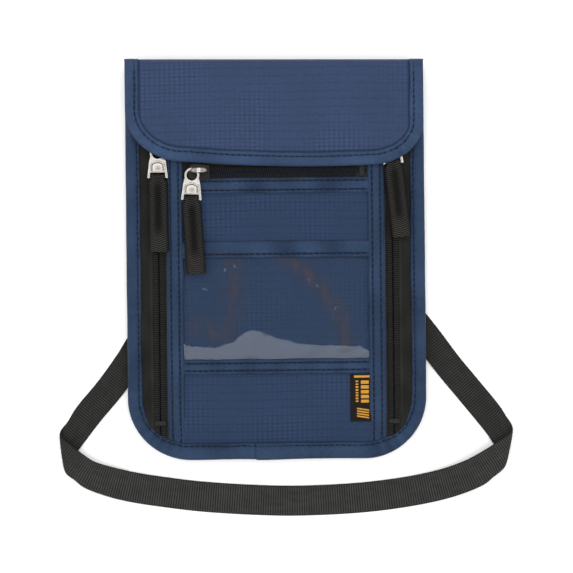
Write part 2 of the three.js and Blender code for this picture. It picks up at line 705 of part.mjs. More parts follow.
const FIXED_BAR_S = 7.4;
add('anchor_strap', 'webbing', ribbon(wrapped([
  [-62, 90, ANCHOR_Z], [-56, 86.6, ANCHOR_Z], onAdjuster(22, THIRD_LAYER), onAdjuster(12, THIRD_LAYER),
  ...aroundBar(FIXED_BAR_S, THIRD_LAYER, FIRST_LAYER, -1), onAdjuster(12, FIRST_LAYER),
  onAdjuster(18, 1.6), onAdjuster(23, 2.0),
], adjusterHalf.clone().negate())));

// The adjuster: two side rails that rest on the table and three bars between them.
const RAIL = { from: 8.2, to: 10.4, length: 11.5, high: 4.0 };
const BAR_Z = [STRAP_T + GAP, 2 * STRAP_T + GAP];
const bars = [[-10.6, -7.6], [-2.4, MAIN_BAR_S], [FIXED_BAR_S, 10.4]];
const adjuster = add('strap_adjuster', 'plastic', join(
  box(-RAIL.length, RAIL.length, RAIL.from, RAIL.to, 0, RAIL.high),
  box(-RAIL.length, RAIL.length, -RAIL.to, -RAIL.from, 0, RAIL.high),
  ...bars.map(([s0, s1]) => box(s0, s1, -RAIL.from - 0.5, RAIL.from + 0.5, ...BAR_Z)),
));
adjuster.position.set(...ADJUSTER_AT, 0);
adjuster.rotation.z = ADJUSTER_ANGLE;

// Patches sewn over the strap's ends on the back panel.
for (const [name, x, turn] of [['left_anchor_patch', -62, -35], ['right_anchor_patch', 61, 43]]) {
  const patch = add(name, 'blue', plate(rectangle(-5.5, 5.5, -8.5, 8.5), 2.3, 2.6));
  patch.position.set(x, 86.6, 0);
  patch.rotation.z = degrees(turn);
}

export default part;
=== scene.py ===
"""Neck pouch wallet, lying on its back with its strap laid out round it.

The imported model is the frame. Every length below is in millimetres, in the frame's own axes:
+X to the right over the pouch's front, +Y towards the flap's fold, +Z up from the table.
"""

import math

import bmesh
import bpy
import numpy as np
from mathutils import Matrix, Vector


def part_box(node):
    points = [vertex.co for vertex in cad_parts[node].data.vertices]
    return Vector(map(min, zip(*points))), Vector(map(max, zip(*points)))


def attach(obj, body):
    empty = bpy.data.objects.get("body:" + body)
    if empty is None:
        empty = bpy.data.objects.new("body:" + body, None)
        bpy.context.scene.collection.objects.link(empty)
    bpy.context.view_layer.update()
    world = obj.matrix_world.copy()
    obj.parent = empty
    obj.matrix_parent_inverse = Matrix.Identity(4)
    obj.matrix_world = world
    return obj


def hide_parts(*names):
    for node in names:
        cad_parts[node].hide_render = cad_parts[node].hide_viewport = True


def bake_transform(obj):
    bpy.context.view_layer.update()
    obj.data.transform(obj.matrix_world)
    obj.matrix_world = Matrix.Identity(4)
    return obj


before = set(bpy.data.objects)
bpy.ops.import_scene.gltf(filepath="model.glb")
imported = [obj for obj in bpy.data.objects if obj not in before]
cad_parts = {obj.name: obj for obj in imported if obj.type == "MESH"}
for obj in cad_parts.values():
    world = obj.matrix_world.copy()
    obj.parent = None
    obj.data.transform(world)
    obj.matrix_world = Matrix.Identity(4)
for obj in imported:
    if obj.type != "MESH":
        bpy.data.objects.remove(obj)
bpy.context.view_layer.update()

MM = 0.001


def box(node):
    low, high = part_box(node)
    return np.array(low) / MM, np.array(high) / MM


# ---------------------------------------------------------------- camera

VIEW_CENTRE = (5.2, -14.2)
VIEW_WIDTH = 286.5
CAMERA_HEIGHT = 1200.0
CAMERA_ROLL = -0.0105
SENSOR = 36.0

camera_data = bpy.data.cameras.new("camera")
camera_data.sensor_width = SENSOR
camera_data.lens = SENSOR * CAMERA_HEIGHT / VIEW_WIDTH
camera = bpy.data.objects.new("camera", camera_data)
camera.location = (VIEW_CENTRE[0] * MM, VIEW_CENTRE[1] * MM, CAMERA_HEIGHT * MM)
camera.rotation_euler = (0, 0, CAMERA_ROLL)
bpy.context.collection.objects.link(camera)
bpy.context.scene.camera = camera

# ---------------------------------------------------------------- small maths


def smooth(t):
    t = np.clip(t, 0, 1)
    return t * t * (3 - 2 * t)


def dip(distance, width):
    return np.exp(-((distance / width) ** 2))


def ripple(x, y, length, seed, count=8):
    """Smooth, even noise between about -1 and 1, with waves about that long."""
    rng = np.random.default_rng(seed)
    total = np.zeros(np.broadcast(x, y).shape)
    for _ in range(count):
        angle, phase = rng.uniform(0, 2 * math.pi, 2)
        k = 2 * math.pi / (length * rng.uniform(0.7, 1.5))
        total = total + np.sin(k * (x * math.cos(angle) + y * math.sin(angle)) + phase)
    return total / math.sqrt(count) / 1.3


def resample(points, step):
    """Points a step apart along a line through the given ones."""
    points = np.asarray(points, float)
    gaps = np.linalg.norm(np.diff(points, axis=0), axis=1)
    run = np.concatenate([[0], np.cumsum(gaps)])
    stations = np.linspace(0, run[-1], max(2, int(round(run[-1] / step)) + 1))
    line = np.stack([np.interp(stations, run, points[:, i]) for i in range(points.shape[1])], 1)
    return line, stations


def curve_through(points, step):
    """A smooth line through the given points, resampled to even steps."""
    p = np.asarray(points, float)
    p = np.concatenate([[2 * p[0] - p[1]], p, [2 * p[-1] - p[-2]]])
    knots = np.concatenate([[0], np.cumsum(np.linalg.norm(np.diff(p, axis=0), axis=1) ** 0.5)])
    dense = []
    for i in range(1, len(p) - 2):
        t0, t1, t2, t3 = knots[i - 1:i + 3]
        t = np.linspace(t1, t2, 24, endpoint=False)[:, None]
        a1 = ((t1 - t) * p[i - 1] + (t - t0) * p[i]) / (t1 - t0)
        a2 = ((t2 - t) * p[i] + (t - t1) * p[i + 1]) / (t2 - t1)
        a3 = ((t3 - t) * p[i + 1] + (t - t2) * p[i + 2]) / (t3 - t2)
        b1 = ((t2 - t) * a1 + (t - t0) * a2) / (t2 - t0)
        b2 = ((t3 - t) * a2 + (t - t1) * a3) / (t3 - t1)
        dense.append(((t2 - t) * b1 + (t - t1) * b2) / (t2 - t1))
    return resample(np.concatenate([*dense, p[-2:-1]]), step)


def unit(v):
    v = np.asarray(v, float)
    return v / np.maximum(np.linalg.norm(v, axis=-1, keepdims=True), 1e-12)


# ---------------------------------------------------------------- meshes


def quads(index):
    return np.stack(
        [index[:-1, :-1], index[:-1, 1:], index[1:, 1:], index[1:, :-1]], -1
    ).reshape(-1, 4)


def slab(top, bottom):
    """A closed sheet between two grids of points [rows, columns, 3]."""
    rows, cols = top.shape[:2]
    count = rows * cols
    index = np.arange(count).reshape(rows, cols)
    rim = np.concatenate([index[0], index[1:, -1], index[-1, -2::-1], index[-2:0:-1, 0]])
    after = np.roll(rim, -1)
    sides = np.stack([rim, rim + count, after + count, after], -1)
    faces = np.concatenate([quads(index), quads(index[:, ::-1] + count), sides])
    return np.concatenate([top.reshape(-1, 3), bottom.reshape(-1, 3)]), faces.tolist()


def thick(top, thickness):
    """The same, with the lower grid set back along the surface's normals."""
    normal = unit(np.cross(np.gradient(top, axis=1), np.gradient(top, axis=0)))
    return slab(top, top - normal * thickness)


def tube(rings):
    """A closed tube through rings of points [stations, around, 3], capped at its ends."""
    rows, cols = rings.shape[:2]
    index = np.arange(rows * cols).reshape(rows, cols)
    faces = quads(np.concatenate([index, index[:, :1]], 1)).tolist()
    faces += [index[0][::-1].tolist(), index[-1].tolist()]
    return rings.reshape(-1, 3), faces


SPINDLE = ((0, 0.25), (0.07, 0.75), (0.25, 1), (0.75, 1), (0.93, 0.75), (1, 0.25))


def spindles(starts, ends, radius, up=(0, 0, 1), flat=1.0, sides=6):
    """Small closed threads or teeth from start to end."""
    starts, ends = np.asarray(starts, float), np.asarray(ends, float)
    along = unit(ends - starts)
    up = np.broadcast_to(np.asarray(up, float), starts.shape)
    side = unit(np.cross(along, up))
    lift = np.cross(side, along) * flat
    turn = np.linspace(0, 2 * math.pi, sides, endpoint=False)
    rings = []
    for t, r in SPINDLE:
        middle = starts + (ends - starts) * t
        circle = side[:, None] * np.cos(turn)[None, :, None] + lift[:, None] * np.sin(turn)[None, :, None]
        rings.append(middle[:, None] + circle * radius * r)
    rings = np.stack(rings, 1)
    each = len(SPINDLE) * sides
    index = np.arange(each).reshape(len(SPINDLE), sides)
    one = quads(np.concatenate([index, index[:, :1]], 1))
    caps = [index[0][::-1], index[-1]]
    faces = []
    for k in range(len(starts)):
        faces += (one + k * each).tolist()
        faces += [(c + k * each).tolist() for c in caps]
    return rings.reshape(-1, 3), faces


def plate(loops, low, high, bevel):
    """A plate with rounded edges, cut to the first loop, with the others as holes."""
    curve = bpy.data.curves.new("plate", "CURVE")
    curve.dimensions = "2D"
    curve.fill_mode = "BOTH"
    curve.extrude = (high - low) / 2 - bevel
    curve.bevel_depth = bevel
    curve.bevel_resolution = 2
    curve.offset = -bevel
    for loop in loops:
        spline = curve.splines.new("POLY")
        spline.points.add(len(loop) - 1)
        for point, (x, y) in zip(spline.points, loop):
            point.co = (x, y, 0, 1)
        spline.use_cyclic_u = True
    carrier = bpy.data.objects.new("plate", curve)
    mesh = bpy.data.meshes.new_from_object(carrier)
    made = bmesh.new()
    made.from_mesh(mesh)
    bmesh.ops.remove_doubles(made, verts=made.verts, dist=1e-4)
    points = np.array([v.co for v in made.verts]) + [0, 0, (low + high) / 2]
    faces = [[v.index for v in f.verts] for f in made.faces]
    made.free()
    bpy.data.objects.remove(carrier)
    bpy.data.curves.remove(curve)
    bpy.data.meshes.remove(mesh)
    return points, faces


def rounded(x0, x1, y0, y1, radius, steps=4):
    """A rectangle's outline with rounded corners."""
    loop = []
    for cx, cy, start in ((x1, y1, 0), (x0, y1, 1), (x0, y0, 2), (x1, y0, 3)):
        mx = cx - radius if cx == x1 else cx + radius
        my = cy - radius if cy == y1 else cy + radius
        for k in range(steps + 1):
            a = (start + k / steps) * math.pi / 2
            loop.append((mx + radius * math.cos(a), my + radius * math.sin(a)))
    return loop


def merge(*shapes):
    points, faces, start = [], [], 0
    for p, f in shapes:
        points.append(p)
        faces += [[i + start for i in face] for face in f]
        start += len(p)
    return np.concatenate(points), faces


def placed(shape, at, turn=0.0):
    points, faces = shape
    c, s = math.cos(turn), math.sin(turn)
    rotation = np.array([[c, s, 0], [-s, c, 0], [0, 0, 1]])
    return points @ rotation + np.array(at), faces


def piece(name, shape, look, body, replaces=(), cloth=None, crease=50):
    """A finished piece: its mesh, its look, the body it rides on and the CAD nodes it stands for.
    cloth holds each point's place across and along the cloth, in millimetres, and its relief, which also sets the
    colour: random tone together with painted shade and painted highlights."""
    points, faces = shape
    mesh = bpy.data.meshes.new(name)
    mesh.from_pydata((np.asarray(points) * MM).tolist(), [], faces)
    if cloth is None:
        cloth = np.asarray(points)
        cloth = np.stack([cloth[:, 0], cloth[:, 1], cloth[:, 2]], 1)
    mesh.attributes.new("cloth", "FLOAT_VECTOR", "POINT").data.foreach_set(
        "vector", np.ascontiguousarray(cloth, np.float32).ravel()
    )
    made = bmesh.new()
    made.from_mesh(mesh)
    bmesh.ops.recalc_face_normals(made, faces=made.faces)
    for face in made.faces:
        face.smooth = True
    made.to_mesh(mesh)
    made.free()
    mesh.set_sharp_from_angle(angle=math.radians(crease))
    material, slot = look
    mesh.materials.append(material)
    obj = bpy.data.objects.new(name, mesh)
    bpy.context.collection.objects.link(obj)
    if body:
        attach(obj, body)
    if replaces:
        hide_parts(*replaces)
    return obj


def both(u, v, w):
    """Cloth coordinates for a sheet's upper and lower grids."""
    one = np.stack(np.broadcast_arrays(u, v, w), -1).reshape(-1, 3)
    return np.concatenate([one, one])


# ---------------------------------------------------------------- materials


def srgb(r, g, b):
    def linear(c):
        c /= 255
        return c / 12.92 if c <= 0.04045 else ((c + 0.055) / 1.055) ** 2.4
    return (linear(r), linear(g), linear(b), 1)


def node(tree, kind, inputs=None, **settings):
    made = tree.nodes.new("ShaderNode" + kind)
    for key, value in settings.items():
        setattr(made, key, value)
    for key, value in (inputs or {}).items():
        if isinstance(value, bpy.types.NodeSocket):
            tree.links.new(value, made.inputs[key])
        else:
            made.inputs[key].default_value = value
    return made


def calc(tree, operation, a, b=0.0):
    return node(tree, "Math", {0: a, 1: b}, operation=operation).outputs[0]


def wave(tree, value, pitch):
    return calc(tree, "SINE", calc(tree, "MULTIPLY", value, 2 * math.pi / pitch))


def new_material(name):
    material = bpy.data.materials.new(name)
    material.use_nodes = True
    tree = material.node_tree
    return material, tree, tree.nodes["Principled BSDF"]


def cloth_look(name, slot, deep, high, weave=0.55, weave_depth=0.03, mottle=0.12, patch=0.1,
               grain_size=1.6, rough=0.85, sheen=0.08, specular=0.12, lines=0.0):
    """Woven cloth. Its colour runs from the deep colour to the high one with its relief, which holds random tone and
    painted shade: darker in grooves, seams and along edges, lighter on raised places; a plain weave, a grain and broad
    patches vary both colour and height."""
    material, tree, shader = new_material(name)
    cloth = node(tree, "Attribute", attribute_name="cloth").outputs["Vector"]
    axes = node(tree, "SeparateXYZ", {0: cloth}).outputs
    threads = calc(tree, "MULTIPLY", wave(tree, axes[0], 2 * weave), wave(tree, axes[1], 2 * weave))
    grain = node(tree, "TexNoise", {"Vector": cloth, "Scale": 1 / grain_size, "Detail": 3.0,
                                    "Roughness": 0.6}).outputs[0]
    broad = node(tree, "TexNoise", {"Vector": cloth, "Scale": 1 / 22, "Detail": 2.0}).outputs[0]
    # painted shade and light: the colour follows the relief from the deep colour to the high one
    base = node(tree, "Mix", {"Factor": axes[2], "A": deep, "B": high}, data_type="RGBA")
    base.inputs[6].default_value, base.inputs[7].default_value = deep, high
    value = calc(tree, "ADD", calc(tree, "MULTIPLY", calc(tree, "SUBTRACT", grain, 0.5), mottle * 2),
                 calc(tree, "MULTIPLY", calc(tree, "SUBTRACT", broad, 0.5), patch * 2))
    value = calc(tree, "ADD", value, calc(tree, "MULTIPLY", threads, 0.05))
    if lines:
        value = calc(tree, "ADD", value, calc(tree, "MULTIPLY", wave(tree, axes[1], 1.1), lines))
    value = calc(tree, "ADD", value, 1.0)
    tinted = node(tree, "HueSaturation", {"Value": value, "Color": base.outputs[2]})
    tree.links.new(tinted.outputs[0], shader.inputs["Base Color"])
    roughness = calc(tree, "ADD", calc(tree, "MULTIPLY", grain, 0.2), rough - 0.1)
    tree.links.new(roughness, shader.inputs["Roughness"])
    height = calc(tree, "ADD", calc(tree, "MULTIPLY", threads, weave_depth),
                  calc(tree, "MULTIPLY", grain, 0.12))
    bump = node(tree, "Bump", {"Height": height, "Distance": MM, "Strength": 0.7})
    tree.links.new(bump.outputs[0], shader.inputs["Normal"])
    shader.inputs["Sheen Weight"].default_value = sheen
    shader.inputs["Sheen Roughness"].default_value = 0.4
    shader.inputs["Specular IOR Level"].default_value = specular
    return material, slot


def hard_look(name, slot, colour, rough, metal=0.0, wear=0.1, specular=0.5, paint_light_and_shade=False):
    """Plated metal or moulded plastic, with fine scuffs and a randomly uneven finish. Where asked, the colour is also
    scaled by the cloth attribute's third value: painted shade where it is low, a painted highlight where it is over 1."""
    material, tree, shader = new_material(name)
    cloth = node(tree, "Attribute", attribute_name="cloth").outputs["Vector"]
    stretched = node(tree, "Mapping", {"Vector": cloth, "Scale": (3.0, 0.5, 1.0)}).outputs[0]
    scuffs = node(tree, "TexNoise", {"Vector": stretched, "Scale": 1.6, "Detail": 4.0}).outputs[0]
    cloudy = node(tree, "TexNoise", {"Vector": cloth, "Scale": 0.35, "Detail": 2.0}).outputs[0]
    value = calc(tree, "ADD", calc(tree, "MULTIPLY", calc(tree, "SUBTRACT", cloudy, 0.5), wear * 2), 1.0)
    # painted light and shade: the colour is scaled by the cloth attribute's third value
    if paint_light_and_shade:
        relief = node(tree, "SeparateXYZ", {0: cloth}).outputs[2]
        value = calc(tree, "MULTIPLY", value, calc(tree, "ADD", calc(tree, "MULTIPLY", relief, 0.8), 0.2))
    tinted = node(tree, "HueSaturation", {"Value": value, "Color": colour})
    tree.links.new(tinted.outputs[0], shader.inputs["Base Color"])
    roughness = calc(tree, "ADD", calc(tree, "MULTIPLY", scuffs, 0.25), rough - 0.12)
    tree.links.new(roughness, shader.inputs["Roughness"])
    bump = node(tree, "Bump", {"Height": scuffs, "Distance": 0.03 * MM, "Strength": 0.4})
    tree.links.new(bump.outputs[0], shader.inputs["Normal"])
    shader.inputs["Metallic"].default_value = metal
    shader.inputs["Specular IOR Level"].default_value = specular
    return material, slot


def vinyl_look(name, slot):
    """Clear, soft vinyl: seen through, glossy, with rusty smears where its relief says so."""
    material, tree, shader = new_material(name)
    tree.nodes.remove(shader)
    cloth = node(tree, "Attribute", attribute_name="cloth").outputs["Vector"]
    smear = node(tree, "SeparateXYZ", {0: cloth}).outputs[2]
    cloudy = node(tree, "TexNoise", {"Vector": cloth, "Scale": 0.16, "Detail": 4.0,
                                     "Distortion": 0.8}).outputs[0]
    fine = node(tree, "TexNoise", {"Vector": cloth, "Scale": 0.5, "Detail": 3.0}).outputs[0]
    bump = node(tree, "Bump", {"Height": fine, "Distance": 0.01 * MM, "Strength": 0.1}).outputs[0]
    clear = node(tree, "BsdfTransparent", {"Color": (0.97, 0.98, 1.0, 1)}).outputs[0]
    rough = calc(tree, "ADD", calc(tree, "MULTIPLY", cloudy, 0.02), 0.01)
    gloss = node(tree, "BsdfGlossy", {"Roughness": rough, "Normal": bump}).outputs[0]
    haze = node(tree, "BsdfDiffuse", {"Color": srgb(78, 73, 78)}).outputs[0]
    film = calc(tree, "MULTIPLY", calc(tree, "MULTIPLY", smear, cloudy), 0.5)
    film = calc(tree, "ADD", film, calc(tree, "MULTIPLY", calc(tree, "POWER", cloudy, 3.0), 0.12))
    body = node(tree, "MixShader", {0: film, 1: clear, 2: haze}).outputs[0]
    facing = node(tree, "LayerWeight", {"Blend": 0.5, "Normal": bump}).outputs["Facing"]
    shine = calc(tree, "ADD", calc(tree, "MULTIPLY", calc(tree, "POWER", facing, 5.0), 0.9), 0.03)
    surface = node(tree, "MixShader", {0: shine, 1: body, 2: gloss}).outputs[0]
    tree.links.new(surface, tree.nodes["Material Output"].inputs["Surface"])
    return material, slot


FABRIC = {"mottle": 0.45, "grain_size": 0.8, "patch": 0.08}
BLUE = cloth_look("blue_fabric", "blue_fabric", srgb(26, 39, 58), srgb(42, 59, 84), **FABRIC)
# The flap's fabrics are lighter copies of the body's: painted light on the flap.
FLAP_BLUE = cloth_look("flap_blue_fabric", "blue_fabric", srgb(32, 46, 68), srgb(49, 67, 95), **FABRIC)
RIPSTOP = cloth_look("ripstop_fabric", "ripstop_fabric", srgb(22, 34, 53), srgb(42, 59, 87),
                     weave=0.4, mottle=0.25, grain_size=0.9, rough=0.8)
# A lighter copy of the ripstop: painted light on the flap.
FLAP_RIPSTOP = cloth_look("flap_ripstop_fabric", "ripstop_fabric", srgb(31, 43, 65),
                          srgb(52, 67, 96), weave=0.4, mottle=0.25, grain_size=0.9, rough=0.8)
# A lighter copy of the ripstop for behind the window: painted light, making up for the light the vinyl holds back.
BACKING = cloth_look("window_backing_fabric", "ripstop_fabric", srgb(28, 44, 66),
                     srgb(42, 61, 85), weave=0.4, mottle=0.25, grain_size=0.9, rough=0.8)
LINING = cloth_look("lining_fabric", "lining_fabric", srgb(22, 28, 38), srgb(30, 38, 50))
SHIELD = cloth_look("shield_fabric", "shield_fabric", srgb(100, 106, 112), srgb(124, 130, 136),
                    rough=0.6, specular=0.6)
THREAD = cloth_look("thread", "blue_fabric", srgb(10, 15, 27), srgb(16, 24, 40), rough=0.7,
                    weave=0.2, grain_size=0.5, sheen=0.0)
TAPE = cloth_look("zip_tape", "zip_tape", srgb(14, 14, 13), srgb(38, 38, 36), mottle=0.15,
                  weave=0.35, sheen=0.02)
WEBBING = cloth_look("strap_webbing", "strap_webbing", srgb(16, 16, 16), srgb(64, 64, 62),
                     weave=0.3, mottle=0.14, rough=0.75, sheen=0.02, specular=0.06)
TAB = cloth_look("tab_webbing", "tab_webbing", srgb(5, 5, 5), srgb(64, 63, 60),
                 weave=0.3, mottle=0.2, rough=0.75, sheen=0.0, specular=0.05)
LABEL = cloth_look("label_weave", "label_weave", srgb(17, 15, 12), srgb(180, 128, 46),
                   weave=0.25, mottle=0.1, patch=0.03, rough=0.7, lines=0.04)
HOOK_LOOP = cloth_look("hook_and_loop", "hook_and_loop", srgb(12, 13, 16), srgb(32, 35, 42),
                       weave=0.5, weave_depth=0.2, mottle=0.3, grain_size=0.7, rough=0.95)
VINYL = vinyl_look("clear_vinyl", "clear_vinyl")
METAL = hard_look("plated_metal", "plated_metal", srgb(146, 142, 137), 0.22, metal=1.0, wear=0.2)
# Metal with painted light and shade set per point, for the sliders, crowns and pullers.
PAINTED_LIGHT_METAL = hard_look("painted_light_metal", "plated_metal", srgb(166, 162, 157), 0.24, metal=1.0,
                         wear=0.2, paint_light_and_shade=True)
DARK_METAL = hard_look("dark_metal", "plated_metal", srgb(34, 33, 32), 0.5, specular=0.08)
COIL = hard_look("zip_coil", "zip_coil", srgb(26, 25, 24), 0.5, specular=0.18)
# A darker copy of the coil for the front zip: painted shade from the flap over it.
FLAP_SHADED_COIL = hard_look("flap_shaded_zip_coil", "zip_coil", srgb(13, 13, 12), 0.6, specular=0.2)
PLASTIC = hard_look("moulded_plastic", "moulded_plastic", srgb(22, 22, 22), 0.45)

# ---------------------------------------------------------------- webbing

RIB_PITCH = 1.2
STRAP_W, STRAP_T = 15.0, 1.1
FIRST, SECOND, THIRD, ANCHOR_Z = 0.55, 1.95, 3.35, 3.45
ACROSS = np.array([-7.5, -7.3, -6.9, -5.6, -3.8, -1.9, 0, 1.9, 3.8, 5.6, 6.9, 7.3, 7.5])


def webbing(name, middle, stations, across, body, replaces, painted_shade_scale=1.0):
    """Ribbed webbing round a grid of middle points [stations, across, 3]."""
    # The ribs set the colour as well as the height: painted shade between the ribs and along the edges, scaled down
    # over whole lengths by the last argument for more painted shade.
    rib = 0.5 + 0.5 * np.cos(2 * math.pi * stations / RIB_PITCH)[:, None] * np.ones(len(across))
    edge = np.abs(across) / np.abs(across).max()
    rib = np.where(edge > 0.93, 0.25, rib * (0.92 + 0.16 * ripple(
        stations[:, None], across[None, :] * 3, 9, 5)))
    half = STRAP_T / 2 - 0.11 * (1 - rib) - np.where(edge > 0.99, 0.25, np.where(edge > 0.96, 0.1, 0))
    normal = unit(np.cross(np.gradient(middle, axis=1), np.gradient(middle, axis=0)))
    shape = slab(middle + normal * half[..., None], middle - normal * half[..., None])
    cloth = both(across[None, :], stations[:, None], rib * painted_shade_scale)
    return piece(name, shape, WEBBING, body, replaces, cloth, crease=70)


def left_of(direction):
    return np.stack([-direction[..., 1], direction[..., 0]], -1)


class Fold:
    """A flat fold of the strap over a straight crease, with the arc that joins its two layers."""

    def __init__(self, at, line, arriving, z_in, z_out):
        self.line, self.arriving = unit(line), unit(arriving)
        outward = np.array([self.line[1], -self.line[0]])
        self.out = outward if outward @ self.arriving > 0 else -outward
        self.z_in, self.z_out = z_in, z_out
        self.radius = abs(z_out - z_in) / 2
        self.turn = math.pi * self.radius
        self.gap = self.turn / (self.out @ self.arriving)
        drift = (self.line @ self.arriving) * self.gap
        self.enter = np.array(at) - self.line * drift / 2
        self.leave = np.array(at) + self.line * drift / 2
        self.leaving = 2 * (self.line @ self.arriving) * self.line - self.arriving
        self.at = np.array(at)

    def bend(self, flat, z, after):
        """Puts points given on the flat plane before (or after) the crease on to the folded strap."""
        along = (flat - self.at) @ self.line
        out = (flat - self.at) @ self.out
        wound = self.turn - out if after else out
        on_arc = (wound > 0) & (wound < self.turn)
        angle = np.clip(wound / self.radius, 0, math.pi)
        new_out = np.where(wound <= 0, wound, np.where(
            on_arc, self.radius * np.sin(angle), self.turn - wound))
        middle = (self.z_in + self.z_out) / 2
        arc_z = middle - (middle - self.z_in) * np.cos(angle)
        near = (out > 0) if not after else (out > 0)
        height = np.where(near, arc_z, z)
        soften = 1.6 * (np.abs(along) / 12.5) ** 4 * dip(wound - self.turn / 2, 5.0)
        new_out = new_out - soften
        place = self.at + along[..., None] * self.line + new_out[..., None] * self.out
        return np.concatenate([place, height[..., None]], -1)


LEFT_LOOP, RIGHT_LOOP = FIRST + 5.0, FIRST + 6.4
left_fold = Fold((-105.0, -95.3), (0.115, -0.993), (-0.616, -0.788), FIRST, LEFT_LOOP)
right_fold = Fold((112.3, -94.6), (0.2, 0.98), (0.83, 0.558), RIGHT_LOOP, FIRST)


def stretch(fold, way, z, lengths):
    """Straight points just before or just after a fold."""
    if way == "in":
        return [[*(fold.enter - fold.arriving * d), z] for d in lengths]
    return [[*(fold.leave + fold.leaving * d), z] for d in lengths]


under_right_to_left = [
    [62, 90, ANCHOR_Z], [54, 82.6, ANCHOR_Z], [44, 73.2, 2.3], [33, 62.6, 0.9], [20, 49.8, FIRST],
    [4, 33.6, FIRST], [-12, 16.8, FIRST], [-30, -2.6, FIRST], [-47, -21.4, FIRST],
    [-64, -36.4, FIRST], [-74, -51.2, FIRST], [-83.9, -64.6, FIRST], [-94.1, -76.7, FIRST],
    *stretch(left_fold, "in", FIRST, (7, 0)),
]
across_front = [
    *stretch(left_fold, "out", LEFT_LOOP, (0, 5)),
    [-94.5, -106.6, 4.6], [-84.6, -110.4, 3.0], [-72.7, -113.6, 1.4], [-58.7, -116, 0.7],
    [-39, -118.6, FIRST], [-9, -120.8, FIRST], [11, -121.3, FIRST], [40.2, -120, FIRST],
    [65.3, -117, 0.8], [81, -113.9, 2.0], [90, -111.2, 3.6], [98.5, -107.6, 5.5],
    *stretch(right_fold, "in", RIGHT_LOOP, (5, 0)),
]

ADJUSTER_AT = np.array([-33, 70.6])
ADJUSTER_WAY = unit([-0.803, 0.596])
ADJUSTER_TURN = math.atan2(ADJUSTER_WAY[1], ADJUSTER_WAY[0])
MAIN_BAR, FIXED_BAR = 0.6, 7.4


def on_adjuster(s, z):
    return [*(ADJUSTER_AT + ADJUSTER_WAY * s), z]


def around_bar(bar_end, from_z, to_z, bulge):
    middle, radius = (from_z + to_z) / 2, abs(to_z - from_z) / 2
    turns = [t * math.pi for t in (-0.5, -0.25, 0, 0.25, 0.5)]
    return [on_adjuster(bar_end + bulge * math.cos(a) * radius,
                        middle + math.sin(a) * radius * np.sign(to_z - from_z)) for a in turns]


under_left_to_tail = [
    *stretch(right_fold, "out", FIRST, (0, 5)),
    [105.3, -78.5, FIRST], [95.5, -66.4, FIRST], [85.6, -54.3, FIRST], [76.0, -41.3, FIRST],
    [64, -25.8, FIRST],
    [50, -7.8, FIRST], [34, 9.9, FIRST], [23, 21.5, FIRST], [16.5, 28, SECOND], [7.6, 36.6, SECOND],
    [-1, 44.3, SECOND], [-8, 50.5, FIRST], [-16, 57.2, FIRST], [-27, 66, FIRST],
    on_adjuster(-3, FIRST), *around_bar(MAIN_BAR, FIRST, THIRD, 1), on_adjuster(-9, THIRD),
    [-21, 61.2, THIRD], [-10, 52.3, THIRD], [0, 43.5, THIRD], [10, 34.3, THIRD],
    [20, 24.5, THIRD - 0.6], [28.5, 15.8, 2.1],
]

STEP = 0.3


NARROWED = 0.92


def strap_run(points, side, fold_before, fold_after, level_from=None, flat_out=False):
    """One run's grid of middle points, its centre line and its stations' lengths."""
    line, run = curve_through(points, STEP)
    flat, z = line[:, :2], line[:, 2]
    way = unit(np.gradient(flat, axis=0))
    if fold_after is not None:
        more = np.arange(STEP, fold_after.gap, STEP)
        flat = np.concatenate([flat, flat[-1] + fold_after.arriving * more[:, None]])
        z = np.concatenate([z, np.full(len(more), z[-1])])
        way = np.concatenate([way, np.broadcast_to(fold_after.arriving, (len(more), 2))])
        run = np.concatenate([run, run[-1] + more])
    half = left_of(way) * side
    if level_from is not None:
        half[run > level_from] = -left_of(ADJUSTER_WAY) * -side
    from_fold = np.minimum(run, run[-1] - run)
    spread = NARROWED + (1 - NARROWED) * (smooth((from_fold - 6) / 24) if flat_out else 0 * run)
    grid = flat[:, None] + (half * spread[:, None])[:, None] * ACROSS[None, :, None]
    heights = np.broadcast_to(z[:, None], grid.shape[:2])
    middle = np.concatenate([grid, heights[..., None]], -1)
    if fold_before is not None:
        near = run < 30
        middle[near] = fold_before.bend(grid[near], heights[near], True)
    if fold_after is not None:
        near = run > run[-1] - 40
        middle[near] = fold_after.bend(grid[near], heights[near], False)
    return middle, run


run_a, s_a = strap_run(under_right_to_left, 1, None, left_fold)
run_b, s_b = strap_run(across_front, -1, left_fold, right_fold, flat_out=True)
level_start = resample(curve_through(under_left_to_tail[:19], STEP)[0], STEP)[1][-1] - 12
run_c, s_c = strap_run(under_left_to_tail, 1, right_fold, None, level_start)
strap_middle = np.concatenate([run_a, run_b, run_c])
strap_run_length = np.concatenate([s_a, s_a[-1] + STEP + s_b, s_a[-1] + s_b[-1] + 2 * STEP + s_c])
wobble = 0.12 * np.stack([ripple(strap_run_length, 0 * strap_run_length, 45, 11),
                          ripple(strap_run_length, 0 * strap_run_length, 60, 12),
                          0 * strap_run_length], 1)
strap_middle = strap_middle + wobble[:, None]
# painted shade: the legs beside and under the pouch are painted darker than the front leg, blended over about 18 mm
strap_painted_shade_scale = np.concatenate([np.full(len(s_a), 0.66), np.ones(len(s_b)), np.full(len(s_c), 0.66)])
strap_painted_shade_scale = np.convolve(np.pad(strap_painted_shade_scale, 30, "edge"), np.ones(61) / 61, "valid")[:, None]
strap = webbing("neck_strap_webbing", strap_middle, strap_run_length, ACROSS, "pouch", ["neck_strap"],
                strap_painted_shade_scale)

